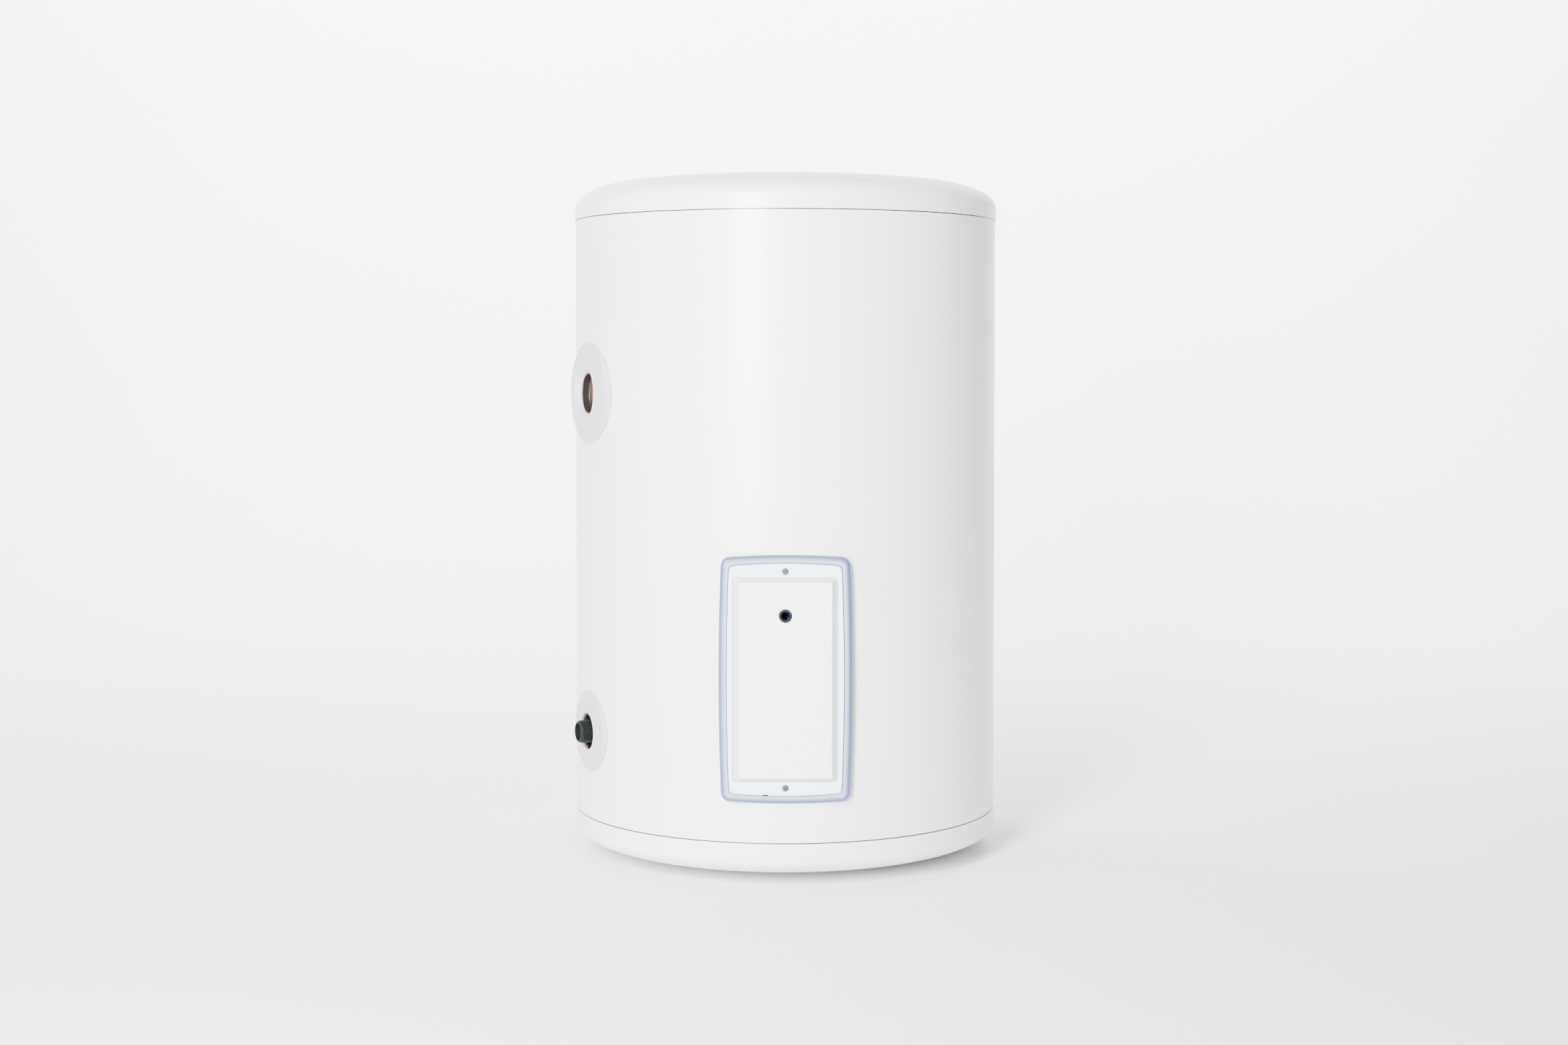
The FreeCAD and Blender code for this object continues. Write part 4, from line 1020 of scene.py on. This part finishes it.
@dataclass
class ServiceHatch:
    """The frame on the jacket, the cover in it, the cable bush and the two screws.

    Attributes:
        frame_half: half width and half height of the frame.
        rebate_half: the same for the recess that the cover lies in.
        ledge_half: the same for the opening inside the ledge.
        frame_front: the front of the frame, from the heater's axis.
        cover_half: half width and half height of the cover.
        foot_half: the same where its raised panel starts.
        face_half: the same at the front of that panel.
        bow: how far the long sides bulge outwards.
        cover_front: the front of the cover's flange.
        panel_front: the front of its raised panel.
        thick: the cover's thickness.
        cable_up: the cable hole's height above the middle.
        screw_up: each screw's height above or below the middle.
        notch: the middle and the half width of the prying notch, along X.
        notch_deep: how deep that notch is.
    """

    frame_half: Spot = (73.5, 137.0)
    rebate_half: Spot = (64.9, 128.4)
    ledge_half: Spot = (60.0, 123.5)
    frame_front: float = 253.6
    cover_half: Spot = (64.5, 128.0)
    foot_half: Spot = (57.0, 112.0)
    face_half: Spot = (50.8, 107.2)
    bow: float = 2.4
    cover_front: float = 254.8
    panel_front: float = 260.6
    thick: float = 2.5
    cable_up: float = 71.0
    screw_up: float = 119.1
    notch: Spot = (-22.0, 2.9)
    notch_deep: float = 2.4

    def build(self) -> None:
        """Builds the four kinds of piece and turns them to the front."""
        place = facing(FRONT_WAY, Vector((0, 0, HATCH_HEIGHT)))
        self.surround().finish("hatch_frame", "frame_plastic", nodes=["cover_frame"], matrix=place)
        self.cover().finish("hatch_cover", "white_plastic", "cover", ["access_cover"], place)
        self.bush().finish("cable_bush", "black_rubber", "cover", ["cable_grommet"],
                           place @ Matrix.Translation((0, self.cable_up, 0)))
        for sign, name in ((1, "cover_screw_top"), (-1, "cover_screw_bottom")):
            self.screw().finish(f"{name}_cross_head", "zinc_steel", "cover", [name],
                                place @ Matrix.Translation((0, sign * self.screw_up, 0)), "dull_zinc")

    def surround(self) -> Solid:
        """The moulded frame: a rounded bead outside, a recess for the cover and a ledge inside it."""
        solid = Solid()
        ledge = self.cover_front - self.thick - 0.05
        back = solid.loop(*self.frame_half, 10, 238.0, self.bow)
        front = solid.loop(*self.frame_half, 10, self.frame_front, self.bow)
        rebate = solid.loop(*self.rebate_half, 6.3, self.frame_front, self.bow)
        floor = solid.loop(*self.rebate_half, 6.3, ledge, self.bow)
        opening = solid.loop(*self.ledge_half, 5, ledge, self.bow)
        inner = solid.loop(*self.ledge_half, 5, 238.0, self.bow)
        solid.bridge(back, front, rebate, floor, opening, inner, back)
        solid.soften(front, 4.6, 7)
        solid.soften(rebate, 0.7, 3)
        solid.soften(opening, 0.4, 2)
        return solid.outward().seat()

    def cover(self) -> Solid:
        """The moulded cover: flange, raised panel with sloping sides, hollow back and three holes."""
        solid, thick = Solid(), self.thick
        back = self.cover_front - thick
        roof_z = self.panel_front - thick
        face = solid.loop(*self.face_half, 3, self.panel_front)
        foot = solid.loop(*self.foot_half, 4, self.cover_front - 1.2)
        bank = solid.loop(self.foot_half[0] + 1.8, self.foot_half[1] + 1.2, 5, self.cover_front)
        front = solid.loop(*self.cover_half, 6, self.cover_front, self.bow)
        edge = solid.loop(*self.cover_half, 6, back, self.bow)
        hollow = solid.loop(self.foot_half[0] - thick, self.foot_half[1] - thick, 3, back)
        roof = solid.loop(self.face_half[0] - thick, self.face_half[1] - thick, 2.4, roof_z)
        solid.bridge(face, foot, bank, front, edge, hollow, roof).cap(face, roof)
        solid.soften(front, 1.5, 4)
        solid.soften(face, 1.4, 4)
        solid.soften(foot, 0.5, 3)
        solid.bore((0, self.cable_up), 12.0, [(6.0, self.panel_front), (6.0, roof_z)])
        sink = self.cover_front - 1.2
        for sign in (-1, 1):
            solid.bore((0, sign * self.screw_up), 5.2,
                       [(4.1, self.cover_front), (4.1, sink), (2.4, sink), (2.4, back)])
        self.press_notch(solid)
        return solid.outward()

    def press_notch(self, solid: Solid) -> None:
        """Pushes in a short length of the lower edge, where a driver's tip lifts the cover."""
        lower = -self.cover_half[1]
        middle, half = self.notch
        for offset in (-half - 0.4, -half, half, half + 0.4):
            strip = [f for f in solid.bm.faces if f.calc_center_median().y < lower + 13
                     and max(v.co.y for v in f.verts) < -100]
            solid.cut(strip, Vector((middle + offset, 0, 0)), Vector((1, 0, 0)))
        for vert in solid.bm.verts:
            if abs(vert.co.x - middle) < half + 0.05 and vert.co.y < lower + 1.7:
                vert.co.y += self.notch_deep

    def bush(self) -> Solid:
        """The grooved rubber bush round the cable hole."""
        front, roof = self.panel_front, self.panel_front - self.thick
        return Solid().lathe([
            (4.5, roof - 1.5, 0.4), (7.4, roof - 1.5, 0.5), (7.4, roof, 0.2), (6.0, roof, 0), (6.0, front, 0),
            (7.4, front, 0.2), (7.4, front + 1.2, 0.7), (4.5, front + 1.2, 0.5)], steps=64)

    def screw(self) -> Solid:
        """A pan-head screw with a cross recess and a cut thread."""
        seat = self.cover_front - 1.2
        top = seat + 2.0
        screw = Solid().lathe([
            (0, 231.0, 0), (1.4, 231.0, 0), (1.7, 232.0, 0), (1.7, seat, 0), (3.2, seat, 0.2), (3.2, top, 0.9),
            (2.5, top, 0), (2.5, top - 0.001, 0), (0, top - 0.001, 0)], steps=32)
        middles = ((f, f.calc_center_median()) for f in screw.bm.faces)
        lid = [f for f, middle in middles if middle.z > top - 0.01 and middle.xy.length < 2.4]
        bmesh.ops.delete(screw.bm, geom=lid, context="FACES")
        rim = [e for e in screw.bm.edges if e.is_boundary]
        cross = self.cross(screw, top - 0.001, 0.45, 2.0)
        floor = self.cross(screw, top - 1.1, 0.28, 1.25)
        bmesh.ops.triangle_fill(screw.bm, use_beauty=True, edges=rim + cross, normal=UP)
        screw.bridge(cross, floor).cap(floor).outward()
        return screw.thread(1.7, 0.3, 1.0, 231.6, seat - 3.0, 20)

    @staticmethod
    def cross(solid: Solid, z: float, narrow: float, long: float) -> Edges:
        """A cross-shaped loop at height z, its arms long from the middle and narrow to each side."""
        spots = [(narrow, long), (narrow, narrow), (long, narrow)]
        verts = []
        for quarter in range(4):
            turn = Matrix.Rotation(-quarter * math.pi / 2, 2)
            for spot in spots:
                verts.append(solid.bm.verts.new((*(turn @ Vector(spot)), z)))
        return [solid.bm.edges.new(pair) for pair in zip(verts, verts[1:] + verts[:1])]


@dataclass
class PipeConnection:
    """A pipe connection: the collar on the jacket and what is screwed or welded behind it.

    Attributes:
        port: which connection it is.
        pitch: the pipe thread's pitch.
        minor_r: the thread's inner radius.
        major_r: its outer radius.
    """

    port: Port
    pitch: float = 1.814
    minor_r: float = 12.1
    major_r: float = 13.2
    place: Matrix = field(init=False)

    def __post_init__(self) -> None:
        """Works out where the connection is."""
        self.place = facing(PORT_WAY, Vector((0, 0, PORT_HEIGHT[self.port])))

    def build(self) -> None:
        """Builds the collar and the metal part that shows through it."""
        name = self.port.value
        self.collar().finish(f"{name}_ring", "collar_plastic", nodes=[f"{name}_collar"], matrix=self.place)
        if self.port is Port.HOT:
            self.socket().finish("hot_tapped_boss", "socket_steel", nodes=["hot_outlet_socket"],
                                 matrix=self.place)
        else:
            self.nipple().finish("cold_nipple", "nipple_black", nodes=["cold_inlet_nipple"], matrix=self.place)

    def collar(self) -> Solid:
        """The moulded collar, its back shaped to the jacket, with the spigot that lines the hole."""
        if self.port is Port.HOT:
            dome = [(22.5, 248.6, 0), (30.6, 256.2, 0.8), (32.6, 257.0, 0.7), (34.4, 255.9, 0.3),
                    (42.1, 254.8, 3.0), (57.3, 252.0, 0.8), (58.5, 250.8, 0.5), (58.5, 240.0, 0)]
            throat, start = 22.5, 241.0
        else:
            dome = [(19.5, 248.6, 0), (21.0, 254.0, 0.6), (22.7, 254.6, 0.6), (24.2, 253.9, 0.3),
                    (33.8, 252.6, 3.0), (45.8, 251.6, 0.7), (47.0, 250.4, 0.4), (47.0, 240.0, 0)]
            throat, start = 19.5, 242.0
        outer = dome[-1][0]
        shares = (0.85, 0.7, 0.55, 0.4, 0.25, 0.12, 0.0)
        under = [(throat + (outer - throat) * share, 240.0, 0.0) for share in shares]
        ring = Solid().lathe(dome + under, steps=144, bends=5).seat()
        spigot = Solid().lathe([
            (throat, start + 0.8, 0.5), (throat, 249.0, 0), (throat + 1.2, 249.0, 0),
            (throat + 1.2, start - 0.6, 0.4), (19.25, 237.6, 0), (19.25, 238.8, 0)])
        return ring.join(spigot)

    def socket(self) -> Solid:
        """The steel boss with its internal thread."""
        root = self.major_r - 0.2
        boss = Solid().lathe([(root, 204.0, 0), (root, 238.8, 0), (root + 0.9, 240.0, 0.2), (19.0, 240.0, 0.8),
                              (19.0, 204.0, 0)], steps=72)
        return boss.thread(root, self.minor_r - root, self.pitch, 208.0, 239.6, 48)

    def nipple(self) -> Solid:
        """The male nipple with its hexagon and cut threads."""
        root = self.minor_r + 0.2
        body = Solid().lathe([(9.5, 216.5, 0.4), (root - 0.4, 216.5, 0.4), (root, 218.0, 0), (root, 263.4, 0),
                              (root - 1.0, 265.0, 0.3), (9.5, 265.0, 0.5)], steps=72)
        body.hexagon(32.0, 240.3, 246.8, 9.6, 0.7)
        body.thread(root, self.major_r - root, self.pitch, 217.2, 240.6, 48)
        return body.thread(root, self.major_r - root, self.pitch, 246.6, 264.2, 48)


@dataclass
class LevellingFoot:
    """One foot: a ribbed pad on the ball end of a threaded stem.

    Attributes:
        name: which foot it is.
        spot: its place, as X and Y.
        pad_r: the pad's radius.
        ribs: how many grip ribs the pad has.
    """

    name: str
    spot: Spot
    pad_r: float = 20.0
    ribs: int = 24

    def build(self) -> None:
        """Builds the pad and the stem."""
        place = Matrix.Translation((*self.spot, 0.0))
        self.pad().finish(f"{self.name}_ribbed_pad", "foot_plastic", self.name, [f"{self.name}_pad"], place)
        stem = self.name.replace("foot_", "screw_")
        self.stem().finish(f"{self.name}_threaded_stem", "zinc_steel", stem, [f"{self.name}_stem"], place)

    def pad(self) -> Solid:
        """The moulded pad, with ribs round its edge to turn it by."""
        r = self.pad_r
        pad = Solid().lathe([
            (0, 0.6, 0), (r - 4.0, 0.6, 0.3), (r - 3.2, 0.0, 0.3), (r - 0.8, 0.0, 0.6), (r, 1.0, 0.4),
            (r, 3.4, 0.8), (r - 2.2, 4.2, 0.5), (9.0, 6.5, 0.8), (5.1, 6.5, 0.3), (5.1, 4.0, 0), (0, 4.0, 0)],
            steps=self.ribs * 6, bends=3)
        return pad.flute(self.ribs, 0.045, r - 0.9, 0.5)

    def stem(self) -> Solid:
        """The threaded stem with its hexagon."""
        rod = Solid().lathe([(0, 4.1, 0), (4.0, 4.1, 0.6), (4.35, 5.5, 0), (4.35, 57.2, 0), (3.6, 58.0, 0),
                             (0, 58.0, 0)], steps=32)
        rod.hexagon(17.0, 6.65, 9.9, 4.2, 0.45)
        return rod.thread(4.35, 0.65, 1.5, 10.0, 57.4, 24)


@dataclass
class Controls:
    """The knob and the reset button behind the cover.

    Attributes:
        knob_spot: the knob's axis, as X and height.
        button_spot: the button's axis.
        flutes: how many finger flutes the knob's grip has.
    """

    knob_spot: Spot = (-23.0, 264.0)
    button_spot: Spot = (24.0, 264.0)
    flutes: int = 12

    def build(self) -> None:
        """Builds the knob and the button."""
        self.knob().finish("temperature_knob", "knob_plastic", "knob", ["thermostat_knob"],
                           self.at(self.knob_spot))
        self.button().finish("reset_push_button", "button_red", "reset", ["reset_button"],
                             self.at(self.button_spot))

    @staticmethod
    def at(spot: Spot) -> Matrix:
        """The place of something that faces forward, from its X and height."""
        return facing(FRONT_WAY, Vector((spot[0], 0, spot[1])))

    def knob(self) -> Solid:
        """The knob: a printed skirt, a fluted grip with a raised pointer, and its shaft."""
        knob = Solid().lathe([
            (0, 234.0, 0), (2.6, 234.0, 0.3), (3.0, 234.4, 0), (3.0, 242.4, 0), (13.0, 242.4, 0.5),
            (13.0, 244.6, 0.9), (9.9, 245.5, 0.8), (9.4, 252.0, 1.2), (8.0, 251.7, 0.3), (0, 251.7, 0)],
            steps=self.flutes * 12)
        knob.flute(self.flutes, 0.09, 8.2, 246.2, 3, math.pi)
        return knob.block((2.0, 8.0, 2.2), (0, 4.4, 252.0), 0.45, 3)

    @staticmethod
    def button() -> Solid:
        """The push button, slightly dished on top."""
        return Solid().lathe([(0, 233.0, 0), (3.8, 233.0, 0.3), (4.0, 233.6, 0), (4.0, 243.5, 0.9),
                              (3.0, 243.4, 0.4), (1.6, 243.1, 0.8), (0, 243.0, 0)], steps=48)


@dataclass
class Fixings:
    """The six nuts of the heating flange.

    Attributes:
        circle_r: the radius of their circle.
        height: the height of its middle.
        across: the distance across a nut's flats.
        washer_front: where the washers end, from the heater's axis.
    """

    circle_r: float = 51.5
    height: float = 176.0
    across: float = 10.0
    washer_front: float = 224.2

    def build(self) -> None:
        """Builds the nuts as one piece."""
        nuts = Solid()
        for k in range(6):
            turn = math.tau * k / 6
            spot = Vector((self.circle_r * math.cos(turn), self.circle_r * math.sin(turn), 0))
            nuts.join(Solid().hexagon(self.across, self.washer_front, self.washer_front + 5, 3.05, 0.4)
                      .place(Matrix.Translation(spot)))
        nuts.finish("flange_hex_nuts", "zinc_steel", nodes=["flange_nuts"],
                    matrix=facing(FRONT_WAY, Vector((0, 0, self.height))))


@dataclass
class Internals:
    """The CAD pieces that keep their own meshes and take better finishes."""

    def build(self) -> None:
        """Gives every CAD node a finish in each of its slots."""
        for name, node in sorted(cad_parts.items()):
            for place in node.material_slots:
                if place.material is not None and place.material.name in FINISHES:
                    place.material = FINISHES[place.material.name].material()
            log.info("%s: finished", name)


@dataclass
class Studio:
    """The floor, the lights and the camera.

    Attributes:
        eye: the camera's place, in metres.
        lens: its focal length.
        shift: its lens shift across and up.
        dip: how far it looks down, in degrees.
        floor_half: half the floor's width, in metres.
        wall_y: how far behind the object the floor starts to curve up.
    """

    eye: tuple[float, float, float] = (0.0, -2.75, 0.58125)
    lens: float = 52.6
    shift: Spot = (-0.0009, -0.0494)
    dip: float = 2.062
    floor_half: float = 6.0
    wall_y: float = 3.0

    def build(self) -> None:
        """Builds them all."""
        self.camera()
        self.backdrop()
        self.light("key_front", (-1.0, -3.0, 1.3), (0, 0, 0.42), (0.8, 1.9), 590.0)
        self.light("side_left", (-2.6, -0.9, 1.1), (0, 0, 0.42), (0.5, 1.8), 8.0, (0.93, 1.0, 0.93))
        self.light("top", (-0.3, -0.6, 2.9), (-0.3, -0.4, 0), (2.4, 2.6), 60.0)
        self.light("wall_left", (-1.5, 1.3, 3.2), (-1.1, 4.2, 1.4), (1.6, 1.0), 420.0)
        self.light("wall_right", (1.5, 1.3, 3.2), (1.1, 4.2, 1.4), (1.6, 1.0), 400.0, (1.0, 0.985, 0.965))
        world = bpy.data.worlds.new("soft_sky")
        world.use_nodes = True
        sky = world.node_tree.nodes["Background"]
        sky.inputs["Color"].default_value = (1.0, 1.0, 1.0, 1.0)
        sky.inputs["Strength"].default_value = 0.04
        bpy.context.scene.world = world

    def camera(self) -> None:
        """Puts the camera in front, looking along +Y and slightly down."""
        data = bpy.data.cameras.new("camera")
        data.lens = self.lens
        data.sensor_width = 36.0
        data.shift_x, data.shift_y = self.shift
        camera = bpy.data.objects.new("camera", data)
        camera.location = self.eye
        camera.rotation_euler = (math.radians(90 - self.dip), 0, 0)
        bpy.context.collection.objects.link(camera)
        bpy.context.scene.camera = camera

    def backdrop(self) -> None:
        """A pale sweep: a floor that curves up into a wall."""
        sweep = bmesh.new()
        spots = [(-8.0, 0.0), (self.wall_y, 0.0), (self.wall_y + 1.5, 6.0)]
        verts = chain(sweep, [(-self.floor_half, y, z) for y, z in spots], False)
        round_off(sweep, [verts[1]], 1.2, 16)
        made = bmesh.ops.extrude_edge_only(sweep, edges=sweep.edges[:])
        far = [v for v in made["geom"] if isinstance(v, bmesh.types.BMVert)]
        bmesh.ops.translate(sweep, verts=far, vec=(2 * self.floor_half, 0, 0))
        bmesh.ops.recalc_face_normals(sweep, faces=sweep.faces[:])
        if sweep.faces[0].normal.z < 0:
            bmesh.ops.reverse_faces(sweep, faces=sweep.faces[:])
        mesh = bpy.data.meshes.new("studio_sweep")
        sweep.to_mesh(mesh)
        sweep.free()
        mesh.shade_smooth()
        graph = Graph("studio_paper")
        shade = graph.noise(graph.place(), 900.0).step(0.2, 0.8)
        colour = graph.mix(shade, (0.90, 0.90, 0.90, 1.0), (0.93, 0.93, 0.93, 1.0))
        paper = graph.node("ShaderNodeBsdfPrincipled", {}, {"Base Color": colour, "Roughness": 0.9})
        mesh.materials.append(graph.surface(paper))
        sheet = bpy.data.objects.new("studio_sweep", mesh)
        bpy.context.collection.objects.link(sheet)

    @staticmethod
    def light(name: str, spot: tuple, aim: tuple, size: Spot, watts: float,
              colour: Colour = (1.0, 1.0, 1.0)) -> None:
        """Adds one rectangular soft light.

        Args:
            name: its name.
            spot: its place, in metres.
            aim: the point that it faces.
            size: its width and height, in metres.
            watts: its power.
            colour: its colour.
        """
        data = bpy.data.lights.new(name, "AREA")
        data.shape = "RECTANGLE"
        data.size, data.size_y = size
        data.energy = watts
        data.color = colour
        lamp = bpy.data.objects.new(name, data)
        lamp.location = spot
        lamp.rotation_euler = (Vector(aim) - Vector(spot)).to_track_quat("-Z", "Y").to_euler()
        bpy.context.collection.objects.link(lamp)


def main() -> None:
    """Builds every sub-assembly in order."""
    logging.basicConfig(level=logging.INFO, format="%(message)s")
    Internals().build()
    Casing().build()
    ServiceHatch().build()
    for port in Port:
        PipeConnection(port).build()
    reach = Casing.foot_circle
    places = {"front_left": (-reach, -reach), "front_right": (reach, -reach),
              "back_right": (reach, reach), "back_left": (-reach, reach)}
    for name, spot in places.items():
        LevellingFoot(f"foot_{name}", spot).build()
    Controls().build()
    Fixings().build()
    Studio().build()


if __name__ == "__main__":
    main()
